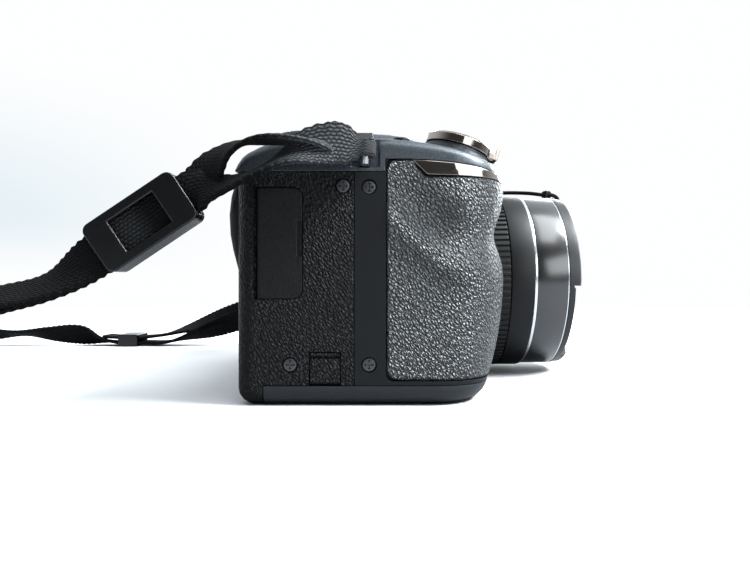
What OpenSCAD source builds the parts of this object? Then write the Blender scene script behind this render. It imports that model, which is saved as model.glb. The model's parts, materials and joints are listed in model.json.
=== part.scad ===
// Bridge camera with a deep hand grip, a retracting zoom lens, a pop-up flash and a neck strap.
// Millimetres. The origin is on the base plane under the lens axis, +Z is up, the lens looks along -Y,
// and the hand grip is on the -X side. Distances in front of the origin are called f, so y = -f.

/* [Body] */
// Lens axis to the outer face of the hand grip
grip_reach = 66; // [62:1:72]
// Lens axis to the far side of the body
left_reach = 52; // [48:1:58]
// Origin to the flat rear face
rear_reach = 35; // [34:0.5:40]
// Origin to the flat front face
front_reach = 17; // [15:0.5:19]
// Height of the seam round the base
base_seam = 5.1; // [4.6:0.1:6]
// Height of the seam under the top cover
top_seam = 58.5; // [57.5:0.1:60]
// Height of the deck beside the hump
deck_height = 67.4; // [66:0.1:70]
// Height of the top of the hump
hump_height = 80.9; // [78:0.1:84]
// Thickness of the moulded covers
wall = 2; // [1.6:0.1:2.4]
// Radius of the upright edges on the grip side
rear_round = 5; // [4.5:0.1:6]
// Radius of the upright edges on the far side
left_round = 9; // [7:0.5:11]
// Radius of the lower edges
foot_round = 4; // [3:0.1:4.4]
// Origin to the seam between the front and rear covers
part_line = 5.2; // [4:0.1:7]
// Origin to the rear end of the battery door
door_rear = 27.8; // [26:0.1:29]
// Gap in each visible seam
seam = 0.2; // [0.1:0.05:0.4]
// Height of the deck on the far side
far_height = 66.2; // [65:0.1:67]
// Radius of the rounded deck edges
deck_round = 3; // [2:0.1:4]

/* [Grip] */
// Width of the hand grip
grip_width = 27; // [24:0.5:29]
// Origin to the nose of the hand grip
grip_nose = 34.5; // [32:0.5:38]
// How far the grip's foot is set back from its nose
grip_heel = 6; // [2:0.1:7]
// Height of the finger notch
notch_height = 43.5; // [40:0.5:47]
// Depth of the finger notch
notch_depth = 2.4; // [1:0.1:3.5]
// Half height of the finger notch
notch_half = 5.5; // [4:0.5:8]
// Thickness of the rubber grip skin
skin_thick = 1.5; // [1.2:0.1:1.8]
// Rear edge of the grip skin in front of the origin
skin_edge = 2.9; // [2:0.1:4]
// Height of the grip skin's lower edge
skin_low = 6.4; // [6.2:0.1:8]
// Height of the grip skin's upper corner
skin_top = 61.6; // [60.5:0.1:62.4]
// Height of the step where the skin passes under the bright trim
trim_low = 57.2; // [56:0.1:58]
// Thumb rest bulge behind the rear face
thumb_bulge = 3.5; // [2:0.1:5]

/* [Lens] */
// Height of the lens axis
lens_height = 31.5; // [31:0.1:33]
// Outer radius of the lens housing
housing_radius = 30.3; // [29:0.1:31]
// Wall of the lens housing
housing_wall = 2.7; // [2.5:0.1:3]
// Front end of the lens housing
housing_front = 50.1; // [49:0.1:54]
// Rear end of the ribbed ring
rib_rear = 30; // [28:0.5:33]
// Front end of the ribbed ring
rib_front = 42.8; // [40:0.5:45]
// Number of ribs round the ring
rib_count = 96; // [60:2:120]
// Height of the ribs
rib_height = 0.6; // [0.3:0.1:0.8]
// Length of the bright ring at the front of the housing
bright_length = 1; // [0.6:0.1:1.4]
// Outer radius of the glossy front band
band_radius = 29.7; // [28.6:0.1:30]
// Length of the glossy front band
band_length = 9.9; // [7:0.1:12]
// Outer radius of the tube that passes into the body
inner_tube = 24; // [23.4:0.1:24.4]
// Wall of the sliding barrels
barrel_wall = 2; // [1.6:0.1:2.2]
// Running gap between the barrels
barrel_gap = 0.4; // [0.3:0.05:0.5]
// Rear end of the tube in the body, behind the origin
tube_rear = 8; // [7:0.5:9]
// Radius of the lens cap
cap_radius = 29.6; // [28.8:0.1:30.2]
// Thickness of the lens cap's disc
cap_disc = 1.3; // [1:0.1:1.6]
// Height of the cap's raised face over its disc
cap_raise = 2.6; // [2:0.1:3]
// Angle covered by each pinch tab
tab_sweep = 54; // [44:1:60]
// Direction of the near pinch tab, below the horizontal
tab_drop = 32; // [20:1:40]

/* [Hump and flash] */
// Half width of the hump at the deck
hump_half = 27; // [24:0.5:29]
// Half width of the hump's flat top
hump_top_half = 15; // [12:0.5:18]
// Front of the hump
hump_front = 24; // [21:0.5:27]
// Rear of the hump behind the origin
hump_rear = 36; // [35.2:0.1:37]
// Share of the hump's rise that lies under the flash head's seam
flash_share = 0.556; // [0.5:0.01:0.62]
// Flash hinge axis in front of the origin
flash_axis = -3; // [-6:0.5:0]
// Radius of the flash head's hinge barrel
flash_barrel = 2.2; // [1.8:0.1:2.6]
// Opening angle of the flash head
flash_open = 48; // [40:1:50]
// Width of the flash window
flash_width = 28; // [22:1:30]

/* [Doors] */
// Thickness of the terminal cover and of the socket flap
flap_thick = 1.6; // [1.4:0.1:1.8]
// Rear end of the terminal cover
terminal_rear = 29.6; // [28:0.1:30]
// Front end of the terminal cover
terminal_front = 18.1; // [16:0.1:20]
// Lower edge of the terminal cover
terminal_low = 26.8; // [24:0.1:30]
// Upper edge of the terminal cover
terminal_high = 54.4; // [50:0.1:55]
// Rear end of the power flap
power_flap_rear = 16.2; // [15:0.1:17]
// Front end of the power flap
power_flap_front = 8.7; // [8:0.1:10]
// Upper edge of the power flap
power_flap_high = 13.3; // [12:0.1:15]
// Battery door hinge axis, from the lens axis towards the grip
door_axis = 22; // [20:0.5:24]
// Radius of the battery door's knuckle
door_knuckle = 1.7; // [1.6:0.05:2]
// Radius of the battery door's hinge pin
door_pin = 0.8; // [0.6:0.05:1]

/* [Controls] */
// Shutter and zoom ring: distance from the lens axis
lever_x = 52.5; // [48:0.5:54]
// Shutter and zoom ring: distance in front of the origin
lever_f = 22.3; // [20:0.1:24]
// Height of the zoom ring's seat
lever_z = 66.6; // [65.5:0.1:68]
// Forward tilt of the zoom ring
lever_tilt = 17; // [10:1:20]
// Outer radius of the zoom ring
lever_radius = 8.9; // [8:0.1:10]
// Height of the zoom ring
lever_tall = 2.6; // [2:0.1:4]
// Radius of the shutter button
shutter_radius = 5.6; // [4.5:0.1:6]
// Mode dial: distance from the lens axis
dial_x = 41.5; // [41:0.5:43]
// Mode dial: distance behind the origin
dial_y = 19.5; // [17:0.5:21]
// Radius of the mode dial
dial_radius = 10.8; // [9.5:0.1:11.5]
// Height of the mode dial
dial_tall = 5; // [4.5:0.1:8]
// Number of grooves round the mode dial
dial_teeth = 48; // [36:1:60]
// Radius of the small deck button
deck_button = 2.3; // [1.8:0.1:3]
// Outer radius of the four-way selector
selector_radius = 10; // [8:0.1:11]
// Radius of the centre button
ok_radius = 4; // [3:0.1:4.6]
// How far the rear buttons stand proud
button_proud = 0.9; // [0.5:0.1:1.5]

/* [Screen and viewfinder] */
// Width of the screen window
screen_width = 66; // [60:1:68]
// Height of the screen window
screen_high = 46; // [42:1:48]
// Middle of the screen window from the lens axis
screen_x = 13; // [11:0.5:14]
// Middle of the screen window above the base
screen_z = 31.5; // [30.5:0.5:32]
// Thickness of the screen window
screen_thick = 1.2; // [0.8:0.1:1.6]
// Thickness of the screen behind its window
screen_deep = 4; // [3:0.1:5]
// Width of the eyepiece opening
eye_width = 17; // [14:0.5:20]
// Share of the hump's rise that the eyepiece opening takes
eye_share = 0.582; // [0.5:0.01:0.62]

/* [Cells and inside] */
// Diameter of a battery cell
cell_diameter = 14.5; // [13.5:0.1:14.5]
// Length of a battery cell
cell_length = 50.5; // [44:0.5:50.5]
// Radial room round a cell
cell_room = 0.35; // [0.25:0.05:0.4]
// Thickness of the battery box walls
box_wall = 0.8; // [0.6:0.1:1]
// Thickness of the chassis plate
chassis_thick = 1.5; // [1:0.1:2]
// Thickness of the main board
board_thick = 1.6; // [1:0.1:2]
// Radius of the flash capacitor
capacitor_radius = 5; // [4:0.1:6]
// Radius of the zoom motor
motor_radius = 4; // [3:0.1:4.5]
// Diameter of the tripod socket's bush
bush_diameter = 12; // [10:0.5:14]
// Diameter of the tripod thread's wall, for a 1/4 inch camera screw
thread_diameter = 5.2; // [5:0.05:6.35]
// Depth of the tripod thread
thread_deep = 7; // [5.5:0.5:7.5]
// Tripod socket behind the origin
tripod_y = 18; // [17.5:0.5:20]
// Radius of a case screw's head
screw_radius = 1.75; // [1.4:0.05:2]
// Radial clearance round pins, buttons and flaps
play = 0.2; // [0.15:0.01:0.3]

/* [Strap] */
// Width of the strap webbing
strap_width = 10; // [8:0.5:10.5]
// Thickness of the strap webbing
strap_thick = 1.4; // [1:0.1:1.6]
// Length of a strap slider
slider_length = 25; // [22:0.5:28]
// Width of a strap slider
slider_width = 13; // [12.5:0.5:15]
// Thickness of a strap slider
slider_thick = 6.6; // [6.4:0.1:7.5]
// Outer radius of the strap roll
roll_radius = 28; // [28:1:28]
// Spacing between the layers of the roll
roll_pitch = 3.8; // [3.6:0.1:4]
// Radius of the cord that holds the lens cap
tether_radius = 0.7; // [0.5:0.05:0.9]

/* [Hidden] */
$fn = 36;
// Facets of rounded shells
hull_fn = 24;
// Reach of cuts that pass right through a piece
far_cut = 200;
// Thickness of one slice of a lofted shell
slice = 0.02;

// Heights of the slices that round the lower edges
foot_levels = [for (a = [0 : 22.5 : 90]) 1 - cos(a)];
// Inset of a shell at height z above its foot, with foot radius r
function foot_inset(z, r) = z >= r ? 0 : r - sqrt(r * r - (r - z) * (r - z));
// Front of the grip at height z
function grip_front(z) = grip_nose - grip_heel * pow(max(0, 32 - z) / 32, 2)
    - notch_depth * exp(-pow((z - notch_height) / notch_half, 2)) - max(0, z - 54) * max(0, z - 54) / 40;
// Slices of the grip up its height
grip_top = skin_top + 0.5;
grip_steps = 18;
grip_levels = concat([for (k = foot_levels) k * foot_round],
    [for (i = [1 : grip_steps]) foot_round + (grip_top - foot_round) * i / grip_steps]);
grip_x = grip_width / 2 - grip_reach;
// Depth of the grip's root inside the body
grip_root = 1.5;
// Inner face of the wall under the skin
core_inset = skin_thick + wall;
// Clearance under the skin and the trim
skin_seat = 0.05;

// Height of the deck at distance f in front of the origin
deck_fall = 0.0048;
function deck_top(f) = deck_height - deck_fall * pow(max(0, f + 3), 2);
// The deck's nose follows the grip at the seam
deck_nose = grip_front(skin_top);
deck_centre = deck_nose - grip_width / 2;
deck_steps = [-rear_reach, 0.6 - rear_reach, 1.8 - rear_reach, deck_round - rear_reach, 6 - rear_reach,
    10 - rear_reach, 14 - rear_reach, -3, 4, 10, 15,
    deck_centre, deck_centre + 4, deck_centre + 7, deck_centre + 9.5, deck_centre + 11.5,
    deck_centre + 12.7, deck_nose - 0.3];
// Half width of the deck over the grip at distance f
function deck_half(f) = f <= deck_centre ? grip_width / 2
    : sqrt(max(0.2, pow(grip_width / 2, 2) - pow(f - deck_centre, 2)));
// Drop of the deck's rear edge
function rear_drop(f) = foot_inset(f + rear_reach, deck_round);
// The near rear corner of the deck slopes down towards the seam
corner_long = 14;
corner_fall = 5.6;
function corner_drop(f) = corner_fall * pow(max(0, corner_long - rear_reach - f) / corner_long, 1.6);

// The hump's outline from the side is a super-ellipse about its middle
hump_mid = (hump_front - hump_rear) / 2;
hump_long = (hump_front + hump_rear) / 2;
hump_power = 2.8;
hump_sink = 5.4;
hump_foot = deck_height - hump_sink;
hump_rise = hump_height - hump_foot;
flash_seam = hump_foot + flash_share * hump_rise;
eye_high = eye_share * hump_rise;
eye_z = hump_foot + 0.4444 * hump_rise;
hump_skirt = 4.5;
function hump_z(f, d) = hump_foot
    + (hump_height - hump_foot - d)
    * pow(max(0, 1 - pow(abs(f - hump_mid) / (hump_long - d), hump_power)), 1 / hump_power);
hump_steps = [for (a = [-90 : 10 : 90]) hump_mid + (hump_long - 0.05) * sin(a)];
flash_axis_z = hump_z(flash_axis, 0) - flash_barrel;
flash_bore = 0.8;

// Lens stack, all distances in front of the origin
housing_bore = housing_radius - housing_wall;
mid_radius = housing_bore - barrel_gap;
mid_bore = mid_radius - barrel_wall - 0.2;
front_tube = mid_bore - barrel_gap;
front_bore = front_tube - barrel_wall;
web = 2;
barrel_rear = front_reach + web + 0.3;
band_rear = housing_front + bright_length;
band_front = band_rear + band_length;
band_bore = band_radius - 2.8;
bezel_rear = band_front - 3.3;
bezel_front = bezel_rear + 2;
cap_rear = band_front + play;
cap_mid = cap_rear + cap_disc;
cap_front = cap_mid + cap_raise;
tab_travel = 1.5;
tab_inner = 20;
tab_key = 4;
tab_rim = 0.7;
tab_grip = 3.6;
// Body tube and what closes it
base_plate = 3;
sensor_deep = 2.5;
chassis_y = tube_rear + base_plate + sensor_deep + 0.3;
board_y = chassis_y + chassis_thick + 4.7;

// Cells stand upright in the grip and behind it, and rest just over the battery door
cell_low = base_seam + 1.5;
cell_places = [[-grip_reach + 14.1, -18.4], [-grip_reach + 12, -3.2], [-grip_reach + 27.4, -3.4],
    [-grip_reach + 19.6, 10.4]];
cell_bore = cell_diameter / 2 + cell_room;
box_high = cell_low + cell_length + 0.3;
box_top = 0.7;

// Lug: an upright steel bar on two legs, beside the top cover
lug_y = 2.4;
lug_low = 59.6;
lug_high = 67;
lug_bar = 1;
lug_wide = 1.9;
lug_out = 3;
lug_leg = 1.4;
lug_root = 2.5;
pocket_deep = 1.2;

// Case screws on the two sides: distance behind the origin, height, and -1 for the grip side
screw_deep = 1.1;
screw_shank = 0.8;
screw_long = 2.6;
side_screws = [[1.5, 54.6, -1], [1.5, 10.3, -1], [8, 54.9, -1], [21.2, 10.3, -1],
    [8, 54.9, 1], [21.2, 10.3, 1]];

// Strap routes. A point is x, y, z, the twist of the webbing and the share of its width there
near_route = [
    [-77, 112, 24.5, 0, 1], [-76, 100, 26.4, 0, 1], [-74.8, 88, 28.8, 0, 1], [-73.8, 76.5, 32.2, 0, 1],
    [-73.4, 64.9, 38, 0, 1], [-73.4, 54.6, 44.9, 0, 1], [-73.4, 44.3, 51.8, 0, 1], [-74, 39, 53.9, 25, 1],
    [-74.6, 33.4, 55.7, 50, 1], [-74.8, 27.1, 58, 58, 1], [-74.4, 21, 60.8, 48, 1], [-73.4, 15, 63.8, 18, 1],
    [-72.4, 9.8, 64.6, 0, 0.95], [-71.5, 6.4, 63.8, 0, 0.6], [-71, 4, 63.3, 0, 0.42],
    [-70.9, 2.2, 63.3, 0, 0.4], [-70.2, 0.9, 63.3, 0, 0.4], [-69, 0.4, 63.3, 0, 0.4],
    [-67.8, 0.9, 63.3, 0, 0.4], [-67.1, 2.2, 63.3, 0, 0.4], [-67.2, 4.6, 63.3, 0, 0.42],
    [-68, 8, 64.6, 0, 0.7], [-69.8, 12.5, 66.6, 25, 0.95], [-71.4, 18.5, 67.4, 62, 1],
    [-72.4, 26.7, 66.4, 68, 1], [-72.4, 33.8, 63.6, 50, 1], [-71.8, 39, 58.8, 18, 1],
    [-71.4, 44.3, 51.8, 0, 1],
    [-71.4, 54.6, 44.9, 0, 1], [-71.4, 64.9, 38, 0, 1], [-71.8, 77, 31.4, 0, 1], [-72.8, 90, 26.4, 0, 1],
    [-74.6, 103, 19.8, 0, 1], [-76.6, 116, 12.6, 0, 1], [-78, 128, 7.4, 0, 1], [-78.1, 136, 5.5, 0, 1],
    [-78, 141.4, 5.3, 0, 1]];
far_route = [
    [68, 130, 4.6, 90, 1], [68, 122, 4.1, 90, 1], [68, 112, 4.1, 90, 1], [68, 102, 5.2, 90, 1],
    [68, 92, 8, 75, 1], [68, 80, 11.6, 45, 1], [67.8, 66, 16, 10, 1], [66.8, 53, 20.5, 0, 1],
    [66.2, 43.4, 26.4, 0, 1], [66.2, 35.3, 35.8, 0, 1], [66.2, 25.6, 47.2, 0, 1], [64.4, 19, 54, 0, 1],
    [61, 11.5, 60.6, 0, 1], [58.2, 7, 63, 0, 0.7], [57.2, 4, 63.3, 0, 0.42], [56.9, 2.2, 63.3, 0, 0.4],
    [56.2, 0.9, 63.3, 0, 0.4], [55, 0.4, 63.3, 0, 0.4], [53.8, 0.9, 63.3, 0, 0.4],
    [53.1, 2.2, 63.3, 0, 0.4], [53.3, 4.6, 63.2, 0, 0.42], [54.6, 9, 62.6, 0, 0.7], [58.8, 16, 57, 0, 1],
    [62.8, 21, 51.8, 0, 1], [64.2, 25.6, 47.2, 0, 1], [64.2, 35.3, 35.8, 0, 1], [64.2, 43.4, 26.4, 0, 1],
    [64.6, 53, 17.6, 0, 1], [65.8, 66, 12.4, 10, 1], [67, 80, 7.4, 45, 1], [67.8, 92, 3.6, 80, 1],
    [68, 102, 1.5, 90, 1], [68, 112, 1.5, 90, 1], [68, 122, 1.5, 90, 1], [67.8, 132, 2.8, 70, 1],
    [67.2, 143, 5.3, 10, 1], [66.6, 156, 5.3, 0, 1], [66, 170, 5.3, 0, 1], [64, 183, 5.3, 0, 1],
    [59, 193, 5.3, 0, 1], [50, 200, 5.3, 0, 1], [37, 203, 5.3, 0, 1], [22, 203, 5.3, 0, 1],
    [6, 199, 5.3, 0, 1], [-8, 190, 5.3, 0, 1], [-17, 178, 5.3, 0, 1], [-21, 165, 5.3, 0, 1],
    [-22, 152, 5.3, 0, 1], [-22, 142.6, 5.3, 0, 1]];
// The roll is a double spiral, folded at its middle, with its axis upright
roll_centre = [-50, 142, 5.3];
roll_core = 9;
roll_steps = 24;
roll_turn = (roll_radius - roll_core) / (2 * roll_pitch) * 360;
function roll_arm(a, side) = let (r = roll_core + 2 * roll_pitch * a / 360)
    [roll_centre.x + side * r * cos(a - roll_turn), roll_centre.y + side * r * sin(a - roll_turn),
     roll_centre.z, 0, 1];
function roll_bend(a, side) = let (u = [roll_core / 2 * (1 + cos(a)), -roll_core / 2 * sin(a)])
    [roll_centre.x + side * (u.x * cos(roll_turn) + u.y * sin(roll_turn)),
     roll_centre.y + side * (u.y * cos(roll_turn) - u.x * sin(roll_turn)), roll_centre.z, 0, 1];
roll_count = ceil(roll_turn * roll_steps / 360);
roll_route = concat(
    [for (i = [roll_count : -1 : 0]) roll_arm(roll_turn * i / roll_count, -1)],
    [for (a = [30 : 30 : 180]) roll_bend(a, -1)],
    [for (a = [150 : -30 : 30]) roll_bend(a, 1)],
    [for (i = [0 : roll_count]) roll_arm(roll_turn * i / roll_count, 1)]);
// Least gap between two layers of the roll, from each point to the later runs that aren't its neighbours
roll_skip = 7;
roll_gap = min([for (i = [0 : len(roll_route) - 1], j = [i + roll_skip : 1 : len(roll_route) - 2])
    run_distance(head(roll_route[i]), head(roll_route[j]), head(roll_route[j + 1]))]) - strap_thick;
echo(roll_gap = roll_gap);
// Sliders and keeper on the strap: place, and fall of the run for the two sliders
near_slider = [-72.4, 54.6, 44.9];
near_fall = 33.8;
far_slider = [65.2, 35.3, 35.8];
far_fall = 49.3;
keeper_place = [68, 113, 0.2];
keeper_length = 9;
keeper_high = 5.6;
// Route of the cord from the far lug to the lens cap
tether_route = [[55.4, 0.3, 60.2], [56, -3, 60.2], [55.2, -8, 60.2], [52, -14, 60], [46, -19, 60.6],
    [37, -24, 62], [27, -30, 63.4], [18, -38, 64.6], [11, -48, 65], [6, -57, 64.2], [3.4, -62, 63.2],
    [2.5, -65.6, 62.9], [2.5, -67.4, 61.7], [2.5, -67.4, 60.2]];

// Vector help for the swept cords
function unit(v) = v / max(norm(v), 0.000001);
function head(p) = [p[0], p[1], p[2]];
function run_distance(p, a, b) = let (d = b - a, u = min(1, max(0, (p - a) * d / (d * d))))
    norm(p - a - u * d);
function heading(route, i) = let (n = len(route) - 1)
    unit(head(route[min(i + 1, n)]) - head(route[max(i - 1, 0)]));
// The webbing's width stands as upright as its run allows, turned by the point's twist
function web_width(t, twist) = let (up = unit([0, 0, 1] - t.z * t))
    up * cos(twist) + cross(t, up) * sin(twist);
// Section of the webbing: a flat bar with its long edges chamfered
edge_cut = 0.3;
function web_section(p, t) =
    let (w = web_width(t, p[3]), n = cross(w, t), a = strap_width * p[4] / 2, b = strap_thick / 2)
    [for (c = [[a, edge_cut - b], [a, b - edge_cut], [a - edge_cut, b], [edge_cut - a, b],
        [-a, b - edge_cut], [-a, edge_cut - b], [edge_cut - a, -b], [a - edge_cut, -b]])
        head(p) + w * c.x + n * c.y];
function round_section(p, t, r) = let (w = web_width(t, 0), n = cross(w, t))
    [for (k = [0 : 7]) head(p) + r * (w * cos(45 * k) + n * sin(45 * k))];

// Skin joining rings of equal size
module sweep(rings) {
    n = len(rings[0]);
    m = len(rings) - 1;
    sides = [for (i = [0 : m - 1], k = [0 : n - 1]) let (a = i * n + k, b = i * n + (k + 1) % n)
        each [[a, b, b + n], [a, b + n, a + n]]];
    caps = [for (k = [1 : n - 2]) each [[0, k + 1, k], [m * n, m * n + k, m * n + k + 1]]];
    polyhedron(points = [for (r = rings) each r], faces = concat(sides, caps));
}

module webbing(route) {
    sweep([for (i = [0 : len(route) - 1]) web_section(route[i], heading(route, i))]);
}

// Box from its two corners
module span(a, b) {
    translate(a) cube(b - a);
}

// Turned piece on the lens axis: children are drawn upright and point forward from distance f
module on_lens(f) {
    translate([0, -f, lens_height]) rotate([90, 0, 0]) children();
}

// Ring on the lens axis between two distances in front of the origin
module lens_ring(f0, f1, outer, inner) {
    on_lens(f0) difference() {
        cylinder(h = f1 - f0, r = outer);
        translate([0, 0, -1]) cylinder(h = f1 - f0 + 2, r = inner);
    }
}

// Outline drawn as distance forward and height, extruded towards -X from x
module from_side(x, deep) {
    translate([x, 0, 0]) rotate([90, 0, -90]) linear_extrude(deep) children();
}

// Cylinder along Y, from y0 to y1
module rod_y(x, z, y0, y1, r) {
    translate([x, y1, z]) rotate([90, 0, 0]) cylinder(h = y1 - y0, r = r);
}

// Cylinder along X, from x0 to x1
module rod_x(y, z, x0, x1, r) {
    translate([x0, y, z]) rotate([0, 90, 0]) cylinder(h = x1 - x0, r = r);
}

// Points of an arc about c, from angle a to angle b
function arc(c, r, a, b) = let (n = abs(b - a) * hull_fn / 360)
    [for (i = [0 : n]) c + r * [cos(a + (b - a) * i / n), sin(a + (b - a) * i / n)]];

// Solid through a row of convex rings
module loft(rings) {
    for (i = [1 : len(rings) - 1]) hull() sweep([rings[i - 1], rings[i]]);
}

// Level ring of the main block at height z, inset by d
block_corners = [[left_reach - left_round, rear_reach - left_round, left_round],
    [rear_round - grip_reach, rear_reach - rear_round, rear_round],
    [rear_round - grip_reach, rear_round - front_reach, rear_round],
    [left_reach - left_round, left_round - front_reach, left_round]];
function block_ring(z, d) = let (inset = d + foot_inset(max(z - d, 0), foot_round - d))
    [for (i = [0 : 3], p = arc([block_corners[i].x, block_corners[i].y], block_corners[i].z - inset,
        90 * i, 90 * i + 90)) [p.x, p.y, z]];

// Main block with rounded lower edges as one convex form
module block_hull(top) {
    hull() sweep([for (z = concat([for (k = foot_levels) k * foot_round], [top])) block_ring(z, 0)]);
}

// Main block with rounded lower edges, inset by d, up to a height
module block_form(d, top) {
    loft([for (z = concat([for (k = foot_levels) d + k * (foot_round - d)], [top])) block_ring(z, d)]);
}

// Level ring of the hand grip at height z, inset by d
function grip_ring(z, d) =
    let (r = grip_width / 2 - d - foot_inset(max(z - d, 0), foot_round - d),
        c = grip_front(z) - grip_width / 2)
    concat([for (p = arc([grip_x, -c], r, 180, 360)) [p.x, p.y, z]],
        [[grip_x + r, grip_root, z], [grip_x - r, grip_root, z]]);

// Hand grip, inset by d, up to a height
module grip_form(d, top) {
    loft([for (z = concat([d], [for (z = grip_levels) if (z > d + 0.01 && z < top - 0.01) z], [top]))
        grip_ring(z, d)]);
}

// Upright ring of the deck over the grip at distance f, inset by d; a wide one reaches to the hump
function deck_ring(f, d, wide) =
    let (high = deck_top(f) - rear_drop(f) - d, half = deck_half(f) - d, low = top_seam - 1,
        r = min(deck_round - d / 2, half - 0.1), right = wide ? -hump_half : grip_x + half - r,
        near = max(high - corner_drop(f), low + 1), bend = min(r, near - low - 0.2))
    [for (p = concat(arc([grip_x - half + bend, near - bend], bend, 180, 90), arc([right, high - r], r, 90, 0),
        [[wide ? right : right + r, low], [grip_x - half, low]])) [p.x, -f, p.y]];

// Deck over the grip, inset by d
module deck_form(d) {
    steps = [for (f = deck_steps) if (f >= d - rear_reach && f <= deck_nose - d) f];
    loft([for (f = concat([for (f = steps) if (f < front_reach - d) f], [front_reach - d]))
        deck_ring(f, d, true)]);
    loft([for (f = steps) if (f > deck_centre - 9) deck_ring(f, d, f < front_reach - d)]);
}

// Flat deck on the far side, inset by d
module far_deck(d) {
    r = left_round - d;
    fillet = deck_round - d / 2;
    hull() for (x = [0, left_reach - left_round], y = [left_round - front_reach, rear_reach - left_round]) {
        for (k = foot_levels) translate([x, y, far_height - d - k * fillet])
            cylinder(h = slice, r = r - fillet * (1 - sin(acos(1 - k))), $fn = hull_fn);
        translate([x, y, top_seam - 1]) cylinder(h = slice, r = r, $fn = hull_fn);
    }
}

// Upright ring of the hump at distance f, inset by d
function hump_ring(f, d) =
    let (high = hump_z(f, d), r = min(6 - d, max(0.3, (high - hump_foot) / 2)),
        share = 1 - 0.18 * pow(abs(f - hump_mid) / hump_long, 4),
        top_half = hump_top_half * share - d / 2, foot_half = hump_half * share - d,
        foot = hump_foot + (f < front_reach - d ? -hump_skirt : d))
    [for (p = concat(arc([-top_half, high - r], r, 180, 90), arc([top_half, high - r], r, 90, 0),
        [[foot_half, foot], [-foot_half, foot]])) [p.x, -f, p.y]];

// Viewfinder hump, inset by d
module hump_form(d) {
    loft([for (f = hump_steps) if (abs(f - hump_mid) < hump_long - d) hump_ring(f, d)]);
}

// Space that the flash head takes out of the hump, grown by g
module flash_space(g) {
    from_side(far_cut / 2, far_cut) union() {
        translate([flash_axis - g, flash_seam - g]) square([far_cut, far_cut]);
        translate([flash_axis, flash_axis_z]) circle(flash_barrel + g);
    }
}

// Outline of the grip skin seen from the side
module skin_outline() {
    offset(r = 1.5) offset(r = -3) offset(r = 1.5) polygon([[skin_edge, skin_low], [far_cut, skin_low],
        [far_cut, trim_low - 1], [skin_edge + 22, trim_low], [skin_edge + 10, trim_low + 0.4],
        [skin_edge + 6, skin_top], [skin_edge, skin_top]]);
}

// Height of the seam between the trim and the top cover at distance f
function trim_seam(f) = skin_top - 0.0036 * pow(max(0, f - 5), 2);

// Outline of the bright trim seen from the side
module trim_outline() {
    difference() {
        polygon(concat([[skin_edge + 3, trim_low - 6], [skin_edge + 3, skin_top - seam]],
            [for (f = [skin_edge + 6 : 4 : 38]) [f, trim_seam(f) - seam]], [[40, trim_low - 6]]));
        offset(delta = seam) skin_outline();
    }
}

// Everything under the top cover's stepped lower edge
module under_top(g) {
    from_side(far_cut / 2, far_cut) translate([0, -g]) polygon([[-far_cut, 0], [-far_cut, top_seam],
        [far_cut, top_seam], [far_cut, 0]]);
    from_side(-grip_reach + grip_width + 1.2, far_cut) translate([0, -g])
        polygon(concat([[skin_edge - 2 * seam, 0], [skin_edge - 2 * seam, skin_top]],
            [for (f = [6 : 4 : 38]) [f, trim_seam(f)]], [[60, trim_seam(38)], [60, 0]]));
}

// Zone where the skin or the trim wraps the grip, grown by g, from an outline in the child
module wrap_zone(g) {
    inner = -grip_reach + grip_width + 1;
    difference() {
        from_side(inner, far_cut) offset(delta = g) children();
        span([grip_x, -front_reach - seam + g, 0], [inner + 1, far_cut, far_cut]);
    }
}

// Seats of the case screws: the child is drawn along the screw's own axis, pointing out of the side
module at_screws(front) {
    for (s = side_screws) if ((s.x < part_line) == front)
        translate([s.z < 0 ? -grip_reach : left_reach, s.x, s.y]) rotate([0, 90 * s.z, 0]) children();
}

module screw_hole() {
    translate([0, 0, -screw_deep]) cylinder(h = far_cut / 20, r = screw_radius + play);
    translate([0, 0, -screw_long - 2]) cylinder(h = screw_long + 2, r = screw_shank + play / 2);
}

// Rear button seat: place of each rear button from the lens axis and its height, with its radius
movie_place = [-38, 53];
playback_place = [-29, 53];
selector_place = [-41, 24];
small_button = 3;

module rear_hole(place, r) {
    rod_y(place.x, place.y, rear_reach - wall - 1, far_cut, r + play);
}

module rear_cover() {
    color("#2b2c2e") difference() {
        intersection() {
            block_form(0, top_seam - seam / 2);
            union() {
                span([-far_cut, part_line + seam / 2, base_seam + seam / 2], [far_cut, far_cut, far_cut]);
                span([-far_cut, door_rear + seam, -1], [far_cut, far_cut, far_cut]);
            }
        }
        intersection() {
            block_form(wall, far_cut);
            span([-far_cut, -far_cut, -1], [far_cut, rear_reach - wall, far_cut]);
        }
        span([screen_x - screen_width / 2 - play, 0, screen_z - screen_high / 2 - play],
            [screen_x + screen_width / 2 + play, far_cut, screen_z + screen_high / 2 + play]);
        rear_hole(movie_place, small_button);
        rear_hole(playback_place, small_button);
        rear_hole(selector_place, selector_radius);
        at_screws(false) screw_hole();
        terminal_pocket();
        power_pocket();
    }
    color("#2b2c2e") screen_frame();
}

// Rails behind the rear wall that hold the screen
rail_gap = 1.1;
rail_half = 0.5;
rail_deep = 3;
module screen_frame() {
    for (s = [-1, 1]) translate([0, 0, screen_z + s * (screen_high / 2 + rail_gap)])
        span([screen_x - screen_width / 2 + 2, rear_reach - wall - rail_deep, -rail_half],
            [screen_x + screen_width / 2 - 2, rear_reach - wall + 0.1, rail_half]);
}

// Recess for the terminal cover, its hinge barrel and the sockets behind it
terminal_axis_y = terminal_rear - flap_thick / 2;
// Room behind the terminal cover's hinge for its open position
flap_relief = 0.7;
flap_corner = 2.4;
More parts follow.
